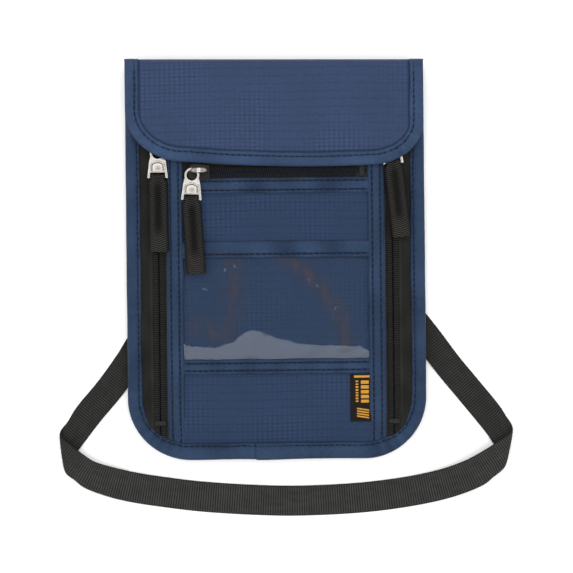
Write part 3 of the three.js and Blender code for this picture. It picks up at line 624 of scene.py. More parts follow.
anchor_line, anchor_run = curve_through([
    [-62, 90, ANCHOR_Z], [-56, 86.6, ANCHOR_Z], on_adjuster(22, THIRD), on_adjuster(12, THIRD),
    *around_bar(FIXED_BAR, THIRD, FIRST, -1), on_adjuster(12, FIRST), on_adjuster(18, 1.6),
    on_adjuster(23, 2.0),
], STEP)
anchor_half = np.append(left_of(ADJUSTER_WAY), 0)
webbing("anchor_strap_webbing", anchor_line[:, None] + anchor_half * ACROSS[None, :, None],
        anchor_run, ACROSS, "pouch", ["anchor_strap"])

adjuster_shape = merge(
    plate([rounded(-11.5, 11.5, 8.2, 10.4, 0.9)], 0, 4, 0.6),
    plate([rounded(-11.5, 11.5, -10.4, -8.2, 0.9)], 0, 4, 0.6),
    *[plate([rounded(s0, s1, -8.8, 8.8, 0.4)], 1.4, 2.5, 0.35)
      for s0, s1 in ((-10.6, -7.6), (-2.4, 0.6), (7.4, 10.4))],
)
piece("strap_adjuster_slide", placed(adjuster_shape, (*ADJUSTER_AT, 0), ADJUSTER_TURN), PLASTIC,
      "pouch", ["strap_adjuster"])

# ---------------------------------------------------------------- stitches


def seam(name, line, body, look=THREAD, pitch=2.9, length=2.25, radius=0.34, up=(0, 0, 1), seed=1,
         sink=0.02, blend=None, replaces=()):
    """A row of lockstitches along a line of points, a little uneven, sunk at their ends."""
    points, run = resample(line, 0.25)
    rng = np.random.default_rng(seed)
    starts, ends, ups = [], [], []
    up = np.asarray(up, float)
    s = 0.6
    while s < run[-1] - length:
        side = rng.normal(0, 0.07)
        own = length * rng.uniform(0.92, 1.05)
        a = np.array([np.interp(s, run, points[:, i]) for i in range(3)])
        b = np.array([np.interp(s + own, run, points[:, i]) for i in range(3)])
        across = unit(np.cross(b - a, up))
        starts.append(a + across * (side - 0.06) - up * sink)
        ends.append(b + across * (side + 0.06) - up * sink)
        s += pitch
    shape = spindles(starts, ends, radius, up)
    return piece(name, shape, look, body, replaces)


# ---------------------------------------------------------------- the pouch's outline

BODY_LOW, BODY_HIGH = box("body_binding")
HALF_W, BOTTOM_Y = BODY_HIGH[0], BODY_LOW[1]
CORNER_R = 31.0
BINDING_W = 7.2


def pouch_edge(inset, top_y, step):
    """Points and inward normals down the left side, round the bottom and up the right side."""
    half, low, r = HALF_W - inset, BOTTOM_Y + inset, CORNER_R - inset
    turn = np.linspace(0, math.pi / 2, 60)
    left = np.stack([-half + r - r * np.cos(turn), low + r - r * np.sin(turn)], 1)
    right = np.stack([half - r + r * np.sin(turn), low + r - r * np.cos(turn)], 1)
    line, run = resample(np.concatenate([[[-half, top_y]], left, right, [[half, top_y]]]), step)
    way = unit(np.gradient(line, axis=0))
    return line, left_of(way), run


def half_width_at(y, inset):
    """Half of the pouch's width at a height, drawn in by inset."""
    half, low, r = HALF_W - inset, BOTTOM_Y + inset, CORNER_R - inset
    below = np.clip(low + r - y, 0, r)
    return half - r + np.sqrt(np.maximum(r * r - below * below, 0))


def settle(y, high, low):
    """A layer's height, down to its place in the bottom binding."""
    return high + (low - high) * smooth((-77 - y) / 15)


# ---------------------------------------------------------------- cloth reliefs


def ripstop_cells(x, y, seed, focus=0.0):
    """The embossed squares of the ripstop, from 0 in its grooves to 1 on its cells; as colour, this paints shade into
    the grooves. They show most where focus is high."""
    bow = 0.5 * ripple(x, y * 0.3, 75, seed)

    def groove(v, pitch, width):
        return dip(pitch / 2 - np.abs((v / pitch) % 1 - 0.5) * pitch, width)

    strength = np.clip(0.38 + 0.5 * ripple(x, y, 40, seed + 1) + focus, 0.06, 1.15)
    uneven = 0.85 + 0.35 * ripple(x, y, 6, seed + 2)
    up_down = groove(x + 0.3 * bow, 2.45, 0.55)
    level = groove(y + bow, 1.95, 0.42)
    rows = groove(y + bow, 3.9, 0.45)
    grooves = 1 - (1 - 0.8 * up_down) * (1 - 0.7 * level)
    w = 0.58 + uneven * strength * (0.42 - 0.72 * grooves) - 0.16 * rows * uneven
    return np.clip(w, 0, 1)


def layer_rows(y0, y1, step):
    return np.linspace(y0, y1, max(2, int((y1 - y0) / step) + 1))


def flat_sheet(name, look, body, replaces, x_of_y, y0, y1, height, thickness, step=1.0, seed=1,
               relief=None, depth=0.14, columns=None):
    """A sheet between two heights on the pouch: x_of_y gives its left and right edges in each row."""
    y = layer_rows(y0, y1, step)
    left, right = x_of_y(y)
    widest = float(np.max(right - left))
    t = np.linspace(0, 1, columns or max(2, int(widest / step) + 1))
    x = left[:, None] + (right - left)[:, None] * t[None, :]
    yy = np.broadcast_to(y[:, None], x.shape)
    w = relief(x, yy) if relief is not None else 0.5 + 0.3 * ripple(x, yy, 30, seed)
    z = height(x, yy)
    if relief is not None:
        z = z - depth * (1 - w)
    top = np.stack([x, yy, z], -1)
    return piece(name, thick(top, thickness), look, body, replaces, both(x, yy, w))


def strip_of(x0, x1):
    return lambda y: (np.full_like(y, x0), np.full_like(y, x1))


# ---------------------------------------------------------------- back, linings and divider

FOLD_START, FOLD_TURN = 95.0, 8.0
FOLD_MIDDLE_Z = 10.3
BACK_Z = box("back_panel")[0][2]


def fold_reach(x):
    """How far the fold runs past its start: a little less towards the right."""
    return 3.5 - 0.01 * x


def back_point(x, run, out):
    """The back's outer surface: level to the fold, then up round it to its middle. out stands proud."""
    angle = np.clip((run - FOLD_START) / FOLD_TURN, 0, 1) * math.pi / 2
    y = np.minimum(run, FOLD_START) + (fold_reach(x) + 0.3 * out) * np.sin(angle)
    z = FOLD_MIDDLE_Z - (FOLD_MIDDLE_Z - BACK_Z + out) * np.cos(angle)
    return np.stack(np.broadcast_arrays(x, y, z), -1)


back_rows = layer_rows(BOTTOM_Y + 1.3, FOLD_START + FOLD_TURN, 1.2)
back_half = half_width_at(np.minimum(back_rows, FOLD_START), 1.4)
back_x = back_half[:, None] * np.linspace(-1, 1, 124)[None, :]
back_y = np.broadcast_to(back_rows[:, None], back_x.shape)
back_bow = 0.18 * ripple(back_x, back_y, 45, 21)
back = piece(
    "back_cloth", slab(back_point(back_x, back_y, back_bow), back_point(back_x, back_y, back_bow - 0.6)),
    RIPSTOP, None, ["back_panel"], both(back_x, back_y, ripstop_cells(back_x, back_y, 22)),
)
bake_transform(back)

shield_low, shield_high = box("shield_lining")
flat_sheet("shield_lining_cloth", SHIELD, "pouch", ["shield_lining"],
           lambda y: (-half_width_at(y, 14), half_width_at(y, 14)), shield_low[1], shield_high[1],
           lambda x, y: shield_high[2] + 0.1 * ripple(x, y, 40, 31), 0.3, 2.5)

divider_high = box("divider")[1]


def divider_z(x, y):
    a = np.abs(x)
    level = np.interp(a, [0, 47.5, 52.5, 66.5, 74], [10.0, 10.0, 7.2, 6.1, 6.1])
    return level + (5.5 - level) * smooth((-77 - y) / 15) + 0.06 * ripple(x, y, 35, 32)


flat_sheet("divider_cloth", LINING, "pouch", ["divider"],
           lambda y: (-half_width_at(y, 1.4), half_width_at(y, 1.4)), BOTTOM_Y + 1.4, divider_high[1],
           divider_z, 0.3, 1.6, columns=110)

# ---------------------------------------------------------------- front panels

BASE_TOP = box("front_base_panel")[1][2]
PANEL_TOP = box("upper_pocket_panel")[1][2]
STRIP_TOP = box("zip_facing")[1][2]
FIELD_HALF_W = box("zip_facing")[1][0]
SEAM_Z = 7.3


def base_z(x, y):
    return settle(y, BASE_TOP, 5.9) + 0.05 * ripple(x, y, 30, 41)


base_high = box("front_base_panel")[1]
flat_sheet("front_base_cloth", RIPSTOP, "pouch", ["front_base_panel"], strip_of(-50.3, 50.3),
           BOTTOM_Y + 1.4, base_high[1], base_z, 0.25, 1.5, relief=lambda x, y: ripstop_cells(x, y, 42))


def panel_z(x, y):
    """The front's ripstop, gently crowned and puckered along its seams."""
    z = settle(y, PANEL_TOP, SEAM_Z) + 0.16 * ripple(x, y, 34, 43)
    for seam_y in (8.6, 32.0, 39.8, -57.5, -92.0):
        z = z - 0.3 * dip(y - seam_y, 1.6) + 0.1 * dip(y - seam_y, 5) * ripple(x, y * 0, 7, 44)
    return z - 0.2 * dip(np.abs(x) - FIELD_HALF_W, 1.8)


upper_low, upper_high = box("upper_pocket_panel")
flat_sheet("upper_pocket_cloth", RIPSTOP, "pouch", ["upper_pocket_panel"], strip_of(-49.5, 49.5),
           upper_low[1], upper_high[1], panel_z, 0.4, 0.45, relief=lambda x, y: ripstop_cells(x, y, 45))
mouth_low, mouth_high = box("mouth_panel")
flat_sheet("mouth_cloth", RIPSTOP, "pouch", ["mouth_panel"], strip_of(-49.5, 49.5), mouth_low[1],
           mouth_high[1], panel_z, 0.4, 0.6, relief=lambda x, y: ripstop_cells(x, y, 46))
lower_high = box("lower_panel")[1]
flat_sheet("lower_front_cloth", RIPSTOP, "pouch", ["lower_panel"], strip_of(-49.5, 49.5),
           BOTTOM_Y + 4.5, lower_high[1], panel_z, 0.4, 0.45, relief=lambda x, y: ripstop_cells(x, y, 47))


def backing_z(x, y):
    return BASE_TOP + 0.36 + 0.08 * ripple(x, y, 26, 48)


window_low, window_high = box("clear_window")
flat_sheet("window_backing_cloth", BACKING, "pouch", (), strip_of(-49, 49), window_low[1] + 0.5,
           window_high[1] - 0.5, backing_z, 0.25, 0.45, relief=lambda x, y: ripstop_cells(x, y, 49))

# ---------------------------------------------------------------- folded strips and side bands


def folded_strip(name, node, top, seams, seed, y_range=None):
    """A level strip of folded cloth between the side bands, with rows of stitches along it."""
    low, high = box(node)
    y0, y1 = y_range or (low[1], high[1])
    x = np.linspace(low[0] - 1.2, high[0] + 1.2, 200)
    t = np.array([0, 0.03, 0.07, 0.13] + list(np.linspace(0.18, 0.82, 22)) + [0.87, 0.93, 0.97, 1])
    yy = y0 + (y1 - y0) * t[:, None] + 0.12 * ripple(x, x * 0, 26, seed)[None, :]
    xx = np.broadcast_to(x[None, :], yy.shape)
    from_edge = np.minimum(yy - yy[:1], yy[-1:] - yy)
    z = top - 0.75 * dip(from_edge, 0.55) + 0.06 * ripple(xx, yy, 14, seed + 1)
    for s in seams:
        z = z - 0.22 * dip(yy - s, 0.45) + 0.07 * dip(yy - s, 2.0) * ripple(xx, yy * 0, 5, seed + 2)
    top_grid = np.stack([xx, yy, z], -1)
    # painted shade along the folded edges and in the stitches' grooves
    relief = np.clip(0.62 + 0.25 * ripple(xx, yy, 20, seed + 3) - 0.6 * dip(from_edge, 0.35), 0, 1)
    for s in seams:
        relief = relief - 0.6 * dip(yy - s, 0.5)
    piece(name, thick(top_grid, 0.55), BLUE, "pouch", [node], both(xx, yy, np.clip(relief, 0, 1)))
    for k, s in enumerate(seams):
        line = np.stack([x[4:-4], np.full(len(x) - 8, s) + 0.08 * ripple(x[4:-4], 0 * x[4:-4], 9, seed + k),
                         np.full(len(x) - 8, top - 0.08)], 1)
        seam(f"{name}_stitches_{k + 1}", line, "pouch", seed=seed + k)


folded_strip("zip_facing_strip", "zip_facing", STRIP_TOP, (38.2, 33.7), 60)
folded_strip("window_top_strip", "window_top_band", STRIP_TOP, (2.0,), 65)
folded_strip("window_bottom_strip", "window_bottom_band", STRIP_TOP, (-51.9, -55.6), 70)

BAND_INNER, BAND_OUTER = box("right_side_band")[0][0], box("right_side_band")[1][0]
BAND_TOP_Y = box("right_side_band")[1][1]


def band_z(a, y):
    """Height of a side band's top at distance a from the pouch's middle line."""
    level = np.interp(a, [45.6, 50.0, 52.0, 53.3, 54.3], [13.3, 13.25, 12.3, 11.2, 9.8])
    return level + (SEAM_Z + 0.1 - level) * smooth((-75 - y) / 17)


for side, sign in (("left", -1), ("right", 1)):
    y = layer_rows(-93.6, BAND_TOP_Y, 0.8)
    a = np.array([45.8, 45.95, 46.2, 46.6, 47.1, 47.6, 48.1, 48.7, 49.4, 50.1, 50.8, 51.4, 51.9, 52.3,
                  52.8, 53.3, 53.8, 54.1, 54.3])
    aa = a[None, :] + 0.1 * ripple(y, y * 0, 30, 80 + sign)[:, None]
    yy = np.broadcast_to(y[:, None], aa.shape)
    z = band_z(aa, yy) - 0.6 * dip(a[None, :] - 45.8, 0.45) - 0.35 * dip(a[None, :] - 54.3, 0.4)
    # painted shade along the band's inner edge and in the stitches' grooves
    relief = 0.6 + 0.22 * ripple(aa, yy, 24, 82 + sign) - 0.5 * dip(a[None, :] - 45.8, 0.3)
    for s in (47.9, 51.9):
        z = z - 0.2 * dip(aa - s, 0.4) + 0.07 * dip(aa - s, 1.8) * ripple(yy, aa * 0, 5, 84 + sign)
        relief = relief - 0.6 * dip(aa - s, 0.5)
    grid = np.stack([aa * sign, yy, z], -1)
    if sign < 0:
        grid, aa, yy, relief = (g[:, ::-1] for g in (grid, aa, yy, relief))
    piece(f"{side}_side_band_strip", thick(grid, 0.5), BLUE, "pouch", [f"{side}_side_band"],
          both(aa, yy, np.clip(relief, 0, 1)))
    for k, s in enumerate((47.9, 51.9)):
        sy = np.linspace(-92, BAND_TOP_Y - 2, 240)
        line = np.stack([np.full_like(sy, s) * sign, sy, band_z(np.full_like(sy, s), sy) - 0.1], 1)
        seam(f"{side}_side_band_stitches_{k + 1}", line, "pouch", seed=90 + k + sign)

# ---------------------------------------------------------------- clear window

wx = np.linspace(window_low[0] + 0.4, window_high[0] - 0.4, 260)
wy = np.linspace(window_low[1], window_high[1], 150)
wxx, wyy = np.meshgrid(wx, wy)
shore = np.interp(wx, [-50, -45, -37, -31, -22, -15, -11, -4, 4, 11, 22, 33, 41, 47, 50],
                  [-40.8, -42.2, -43.8, -44.0, -41.6, -36.6, -35.4, -38.0, -40.4, -42.4, -43.4, -43.8,
                   -44.0, -46.6, -47.4])
shore = shore + 0.4 * ripple(wx, wx * 0, 6, 102) + 0.3 * ripple(wx, wx * 0, 2.2, 105)
below = np.clip(shore[None, :] - wyy, 0, 16)
window_z = 12.35 + 0.05 * ripple(wxx, wyy, 34, 103) + 0.015 * ripple(wxx, wyy, 9, 104)
window_z = window_z - 0.068 * below
for cx, cy, reach, turn in ((-35, -15, 2.2, -0.5), (-6, -38.6, 1.2, 0.2), (-25, -6, 1.8, 1.4), (16, -11, 2.0, -1.0),
                            (20, -14, 1.4, -0.9), (-20, -4, 1.4, -1.2), (29, -25, 1.2, 1.1)):
    u = (wxx - cx) * math.cos(turn) + (wyy - cy) * math.sin(turn)
    v = (wyy - cy) * math.cos(turn) - (wxx - cx) * math.sin(turn) - 0.12 * u * u / reach
    window_z = window_z + 0.07 * dip(v, 0.4) * dip(u, reach)


def band_along(points, width):
    """How strongly each window point lies on a band through the given points."""
    line, _ = resample(points, 1.0)
    gap = np.min(np.hypot(wxx[..., None] - line[:, 0], wyy[..., None] - line[:, 1]), -1)
    return dip(gap, width)


smears = 0.9 * band_along([(4, 0), (14, -7), (22, -14), (29, -24), (33, -34), (34, -44)], 3.6)
smears = smears + 0.6 * band_along([(-21, -2), (-21, -14), (-22, -26), (-25, -36)], 4.5)
smears = smears + 0.6 * band_along([(-42, -34), (-34, -33), (-28, -38)], 4.0)
smears = np.clip(smears * (0.75 + 0.4 * ripple(wxx, wyy, 9, 106)), 0, 1)
window = piece(
    "clear_window_sheet", thick(np.stack([wxx, wyy, window_z], -1), 0.15), VINYL, "pouch",
    ["clear_window"], both(wxx, wyy, smears),
)

# ---------------------------------------------------------------- woven label

label_low, label_high = box("woven_label")
lx = np.linspace(label_low[0] - 0.8, label_high[0] + 0.5, 56)
ly = np.linspace(label_low[1], label_high[1], 130)
lxx, lyy = np.meshgrid(lx, ly)
gold = np.zeros_like(lxx)


def woven_bar(x0, x1, y0, y1, slant=0.0):
    yy = lyy + slant * (lxx - x0)
    gold[(lxx > x0) & (lxx < x1) & (yy > y0) & (yy < y1)] = 1


woven_bar(38.2, 46.5, -59.7, -58.5)
for k in range(5):
    woven_bar(41.4, 45.4, -62.7 - 2.35 * k, -61.1 - 2.35 * k)
for k in range(8):
    woven_bar(38.8, 40.2, -61.9 - 1.4 * k, -61.1 - 1.4 * k)
for k in range(4):
    woven_bar(39.4, 45.4, -75.2 - 1.25 * k, -74.5 - 1.25 * k, slant=0.16)
label_z = panel_z(lxx, lyy) + 0.55 + 0.12 * gold + 0.08 * ripple(lxx, lyy, 12, 111)
label_z = label_z + 0.25 * smooth((label_low[1] + 5 - lyy) / 5)
piece("woven_label_tab", thick(np.stack([lxx, lyy, label_z], -1), 0.3), LABEL, "pouch",
      ["woven_label"], both(lxx, lyy, gold))

# ---------------------------------------------------------------- zips

TAPE_TOP = box("left_zip_inner_tape")[1][2]
SIDE_ZIP_X = 58.0
TOOTH_PITCH = 1.1


def tape_z(a, y):
    level = np.interp(a, [50, 62.5, 67.2, 73], [TAPE_TOP, TAPE_TOP, 7.05, 6.95])
    return level + (SEAM_Z - 0.1 - level) * smooth((-78 - y) / 14)


def chain(name, start, end, side, z, height_of=None):
    """One side of a coil: rounded teeth from its outer edge to the zip's middle line."""
    start, end = np.array(start, float), np.array(end, float)
    way = unit(end - start)
    across = np.array([way[1], -way[0]]) * side
    count = int(np.linalg.norm(end - start) / TOOTH_PITCH)
    run = (np.arange(count) + (0.25 if side > 0 else 0.75)) * TOOTH_PITCH
    foot = start + way * run[:, None]
    heights = np.full(count, z) if height_of is None else height_of(foot[:, 1])
    rng = np.random.default_rng(len(name))
    heights = heights + rng.normal(0, 0.03, count)
    outer = np.concatenate([foot + across * 2.95, heights[:, None] - 0.12], 1)
    inner = np.concatenate([foot + across * 0.22, heights[:, None]], 1)
    return spindles(outer, inner, 0.42, flat=1.05, sides=8)


for side, sign in (("left", -1), ("right", 1)):
    low_y, high_y = -94.5, box(f"{side}_zip_inner_tape")[1][1]
    y = layer_rows(low_y, high_y, 0.9)
    inner_a = np.array([51.2, 52, 53, 53.6, 54.2, 54.7, 55.1, 55.5, 56, 56.6, 57.2, 57.7])
    for place, a in (("inner", inner_a), ("outer", None)):
        if a is None:
            reach = np.maximum(half_width_at(y, 2.2), 59.5)
            t = np.array([0, 0.03, 0.07, 0.11, 0.16, 0.2, 0.25, 0.32, 0.4, 0.5, 0.6, 0.7, 0.8, 0.9, 1])
            aa = 58.3 + (reach[:, None] - 58.3) * t[None, :]
        else:
            aa = np.broadcast_to(a[None, :], (len(y), len(a)))
        keep = half_width_at(y, 1.6)[:, None]
        aa = np.minimum(aa, keep - 0.001 * (aa.shape[1] - np.arange(aa.shape[1]))[None, :])
        yy = np.broadcast_to(y[:, None], aa.shape)
        line_up = 0.12 * dip(np.abs(aa - SIDE_ZIP_X) - 3.7, 0.35)
        z = tape_z(aa, yy) + line_up + 0.07 * ripple(aa, yy, 22, 120 + sign)
        # painted highlight along the raised line beside the coil
        relief = 0.45 + 0.25 * ripple(aa, yy, 15, 122) + 0.35 * dip(np.abs(aa - SIDE_ZIP_X) - 3.7, 0.3)
        grid = np.stack([aa * sign, yy, z], -1)
        if sign < 0:
            grid, aa, yy, relief = (g[:, ::-1] for g in (grid, aa, yy, relief))
        piece(f"{side}_zip_{place}_tape_cloth", thick(grid, 0.35), TAPE, "pouch",
              [f"{side}_zip_{place}_tape"], both(aa, yy, np.clip(relief, 0, 1)))
    ends = ((sign * SIDE_ZIP_X, -90.5), (sign * SIDE_ZIP_X, high_y))
    for place, way in (("inner", -sign), ("outer", sign)):
        shape = chain(f"{side}_{place}", *ends, way, 0,
                      lambda yy: tape_z(np.full_like(yy, SIDE_ZIP_X), yy) + 0.42)
        piece(f"{side}_zip_{place}_teeth", shape, COIL, "pouch", [f"{side}_zip_{place}_coil"])
    stop_low, stop_high = box(f"{side}_zip_stop")
    piece(f"{side}_zip_end_stop",
          plate([rounded(stop_low[0], stop_high[0], stop_low[1], stop_high[1], 0.6)],
                stop_low[2] - 0.4, stop_high[2] - 0.1, 0.25), DARK_METAL, "pouch", [f"{side}_zip_stop"])

for place in ("lower", "upper"):
    low, high = box(f"front_zip_{place}_tape")
    flat_sheet(f"front_zip_{place}_tape_cloth", TAPE, "pouch", [f"front_zip_{place}_tape"],
               strip_of(low[0], high[0]), low[1], high[1],
               lambda x, y: high[2] + 0.05 * ripple(x, y, 18, 131), 0.3, 0.6)
FRONT_ZIP_Y = 42.9
front_coil_low, front_coil_high = box("front_zip_lower_coil")
for place, way in (("lower", 1), ("upper", -1)):
    shape = chain(f"front_{place}", (front_coil_low[0], FRONT_ZIP_Y), (front_coil_high[0], FRONT_ZIP_Y),
                  way, front_coil_low[2] + 0.25)
    # painted shade: the front zip's coil uses the darker copy of the coil
    piece(f"front_zip_{place}_teeth", shape, FLAP_SHADED_COIL, "pouch", [f"front_zip_{place}_coil"])
stop_low, stop_high = box("front_zip_stop")
piece("front_zip_end_stop",
      plate([rounded(stop_low[0], stop_high[0], stop_low[1], stop_high[1], 0.6)], stop_low[2] - 0.2,
            stop_high[2] - 0.1, 0.25), DARK_METAL, "pouch", ["front_zip_stop"])

# ---------------------------------------------------------------- mouth hem and loop tape

hem_low, hem_high = box("mouth_hem")
hem_x = np.linspace(hem_low[0], hem_high[0], 160)
hem_profile = np.array([(88.3, 12.75), (89.0, 13.0), (90.2, 12.85), (91.6, 13.1), (92.8, 12.6), (93.3, 11.2),
                        (93.2, 9.9), (92.6, 9.1), (91.2, 8.9), (89.4, 9.1), (88.4, 9.3), (88.6, 9.7),
                        (91.5, 9.6), (92.4, 10.4), (92.4, 11.6), (91.4, 12.4), (88.6, 12.4)])
hem_wave = 0.15 * ripple(hem_x, hem_x * 0, 28, 141)
rings = np.stack([np.broadcast_to(hem_x[:, None], (160, len(hem_profile))),
                  hem_profile[None, :, 0] + hem_wave[:, None],
                  np.broadcast_to(hem_profile[None, :, 1], (160, len(hem_profile))) + hem_wave[:, None] * 0.5], -1)
hem_cloth = np.stack([rings[..., 0], rings[..., 1] * 1.0, 0 * rings[..., 0] + 0.6], -1).reshape(-1, 3)
piece("mouth_hem_strip", tube(rings), BLUE, "pouch", ["mouth_hem"], hem_cloth)
seam("mouth_hem_stitches", np.stack([hem_x[3:-3], 0 * hem_x[3:-3] + 90.2, 0 * hem_x[3:-3] + 12.95], 1),
     "pouch", seed=143)


def fuzzy_tape(name, node, body, top, bottom, seed):
    """A hook or loop tape: a pile of small tufts on a woven base."""
    low, high = box(node)
    xx, yy = np.meshgrid(np.linspace(low[0], high[0], 170), np.linspace(low[1], high[1], 48))
    rng = np.random.default_rng(seed)
    pile = rng.uniform(0, 1, xx.shape)
    edge = np.minimum(np.minimum(xx - low[0], high[0] - xx), np.minimum(yy - low[1], high[1] - yy))
    pile = np.where(edge < 1.2, 0.15, pile)
    up, down = (top, bottom) if top > bottom else (bottom, top)
    tufted = top + (0.28 if top > bottom else -0.28) * (pile - 1)
    base = np.full_like(xx, bottom)
    grids = [np.stack([xx, yy, tufted], -1), np.stack([xx, yy, base], -1)]
    if top < bottom:
        grids = grids[::-1]
    piece(name, slab(*grids), HOOK_LOOP, body, [node], both(xx, yy, pile))


loop_low, loop_high = box("loop_tape")
fuzzy_tape("loop_tape_pile", "loop_tape", "pouch", loop_high[2], loop_low[2] - 0.3, 151)

# ---------------------------------------------------------------- body binding

PROFILE = np.array([
    (7.2, 7.75), (6.9, 8.0), (6.5, 8.2), (6.1, 8.32), (5.6, 8.3), (5.1, 8.55), (4.5, 8.8), (3.6, 8.98),
    (2.5, 8.95), (1.6, 8.7), (0.8, 8.1), (0.25, 7.2), (0.0, 6.15), (0.25, 5.1), (0.8, 4.2), (1.6, 3.6),
    (2.5, 3.35), (4.0, 3.3), (5.6, 3.35), (7.2, 3.5), (7.2, 4.1), (4.0, 4.05), (1.8, 4.6), (1.1, 6.15),
    (1.8, 7.8), (4.0, 8.3), (5.6, 7.75), (7.2, 7.4),
])
JOINT_X = -11.0
edge, inward, run = pouch_edge(0, FOLD_START, 0.7)
around = np.concatenate([[0], np.cumsum(np.linalg.norm(np.diff(PROFILE, axis=0), axis=1))])
n = np.broadcast_to(PROFILE[:, 0], (len(run), len(PROFILE))).copy()
h = np.broadcast_to(PROFILE[:, 1], (len(run), len(PROFILE))).copy()
upper = (np.arange(len(PROFILE)) < 13)[None, :]
corner = dip(np.abs(np.abs(edge[:, 0]) - 60), 12) * (edge[:, 1] < -60)
pucker = ripple(run, run * 0, 6.5, 161) * (0.06 + 0.14 * corner)
h = h + upper * (0.12 * ripple(run, run * 0, 40, 162)[:, None] + pucker[:, None] * dip(n - 5.0, 2.6))
inner_edge = np.clip((n - 3) / 4.2, 0, 1)
n = n + inner_edge * (0.22 * ripple(run, run * 0, 24, 163) + 0.08 * ripple(run, run * 0, 7, 164))[:, None]
n = n + (1 - inner_edge) * 0.1 * ripple(run, run * 0, 33, 165)[:, None]
wider = 1.1 * smooth((-92 - edge[:, 1]) / 7)
n = n + np.clip((n - 2.5) / 2.5, 0, 1) * wider[:, None]
on_bottom = edge[:, 1] < BOTTOM_Y + 1
lap = np.where(on_bottom, smooth((edge[:, 0] - JOINT_X) / 0.6) * dip(np.maximum(edge[:, 0] - JOINT_X, 0), 14), 0)
h = h + lap[:, None] * np.where(PROFILE[:, 1] > 6, 0.4, -0.15)[None, :]
n = n - lap[:, None] * 0.35 * (1 - inner_edge)
crease_line = np.where(on_bottom, dip(edge[:, 0] - JOINT_X + 0.2, 0.5), 0)
h = h - crease_line[:, None] * upper * 0.3
places = edge[:, None] + inward[:, None] * n[..., None]
rings = np.concatenate([places, h[..., None]], -1)
# painted highlight on the puckers; painted shade along the inner edge, in the stitch groove, in the joint's crease and
# on the outer rim
relief = 0.62 + 0.25 * ripple(run[:, None], around[None, :] * 2, 26, 166) + upper * pucker[:, None] * 1.2
relief = relief - 0.9 * dip(PROFILE[None, :, 0] - 7.2, 0.3) - 0.5 * dip(PROFILE[None, :, 0] - 5.6, 0.45)
relief = relief - 0.6 * crease_line[:, None] - 0.25 * dip(PROFILE[None, :, 0], 0.7)
cloth = np.stack(np.broadcast_arrays(around[None, :], run[:, None], np.clip(relief, 0, 1)), -1)
piece("pouch_binding", tube(rings), BLUE, "pouch", ["body_binding"], cloth.reshape(-1, 3))
stitch_edge, stitch_in, stitch_run = pouch_edge(5.7, FOLD_START - 2, 0.7)
slack = np.where(stitch_edge[:, 1] < -90, dip(stitch_edge[:, 0] + 17, 2.5), 0)
stitch_line = np.concatenate([
    stitch_edge + stitch_in * (0.12 * ripple(stitch_run, stitch_run * 0, 18, 167) + 0.5 * slack
                               + 1.1 * smooth((-86.5 - stitch_edge[:, 1]) / 7))[:, None],
    (8.3 + 0.12 * ripple(stitch_run, stitch_run * 0, 40, 162) + 0.25 * slack)[:, None],
], 1)
seam("pouch_binding_stitches", stitch_line, "pouch", seed=168)

# ---------------------------------------------------------------- flap

FLAP_LOW, FLAP_HIGH = box("flap_binding")
FLAP_HALF_W = FLAP_HIGH[0]
FLAP_TOP = 16.2
FLAP_BINDING_W = 7.0
LEFT_CORNER, RIGHT_CORNER = (30.0, 26.0), (26.0, 22.0)
FLAP_EDGE_Y = 44.95


def flap_z(x, y):
    """Height of the flap's cloth: level in the middle, drooping at its sides and a little at its edge."""
    droop = 4.5 * np.clip((np.abs(x) - 56) / 18, 0, 1.05) ** 1.5
    low_edge = 0.3 * smooth((60 - y) / 16)
    waves = 0.22 * ripple(x, y, 42, 171) + 0.05 * ripple(x, y, 13, 172)
    return FLAP_TOP - droop - low_edge + waves


def flap_crown(x):
    from_low = np.asarray(x, float) - 22
    return FLAP_EDGE_Y + np.where(from_low < 0, 2.6 * (from_low / 62) ** 2, 0.8 * (from_low / 30) ** 2)


def flap_edge_y(x, inset):
    """The flap's lower edge at each x, drawn in by inset."""
    x = np.asarray(x, float)
    y = flap_crown(x) + inset
    for side, (rx, ry) in ((-1, LEFT_CORNER), (1, RIGHT_CORNER)):
        centre_x = FLAP_HALF_W - rx
        base = flap_crown(np.array(side * centre_x)) + inset
        t = np.clip((x * side - centre_x) / (rx - inset), 0, 1)
        corner_y = base + (ry - inset) * (1 - np.sqrt(1 - t * t))
        y = np.where(x * side > centre_x, corner_y, y)
    return y


def flap_point(x, run, up):
    """The flap's outer surface: level to the fold, then down round it to its middle."""
    angle = np.clip((run - FOLD_START) / FOLD_TURN, 0, 1) * math.pi / 2
    top = flap_z(x, np.minimum(run, FOLD_START))
    y = np.minimum(run, FOLD_START) + (fold_reach(x) + 0.3 * up) * np.sin(angle)
    z = FOLD_MIDDLE_Z + (top - FOLD_MIDDLE_Z + up) * np.cos(angle)
    return np.stack(np.broadcast_arrays(x, y, z), -1)


def flap_grid(inset, half_w, columns, rows, end):
    x = np.linspace(-half_w, half_w, columns)
    first = flap_edge_y(x, inset)
    t = np.linspace(0, 1, rows)
    run = first[None, :] + (end - first)[None, :] * t[:, None]
    return np.broadcast_to(x[None, :], run.shape), run


fx, fr = flap_grid(1.6, 72.3, 300, 128, FOLD_START + FOLD_TURN)
focus = 0.5 * dip(fx + 52, 20) * smooth((fr - 58) / 10) + 0.45 * (1 - smooth((fr - 54) / 9)) - 0.2
cells = ripstop_cells(fx, fr, 175, focus)
inside = smooth((FLAP_HALF_W - np.abs(fx) - 6) / 3) * smooth((fr - flap_edge_y(fx, 6)) / 3)
from_binding = np.minimum(FLAP_HALF_W - np.abs(fx) - 7.1, fr - flap_edge_y(fx, 7.1))
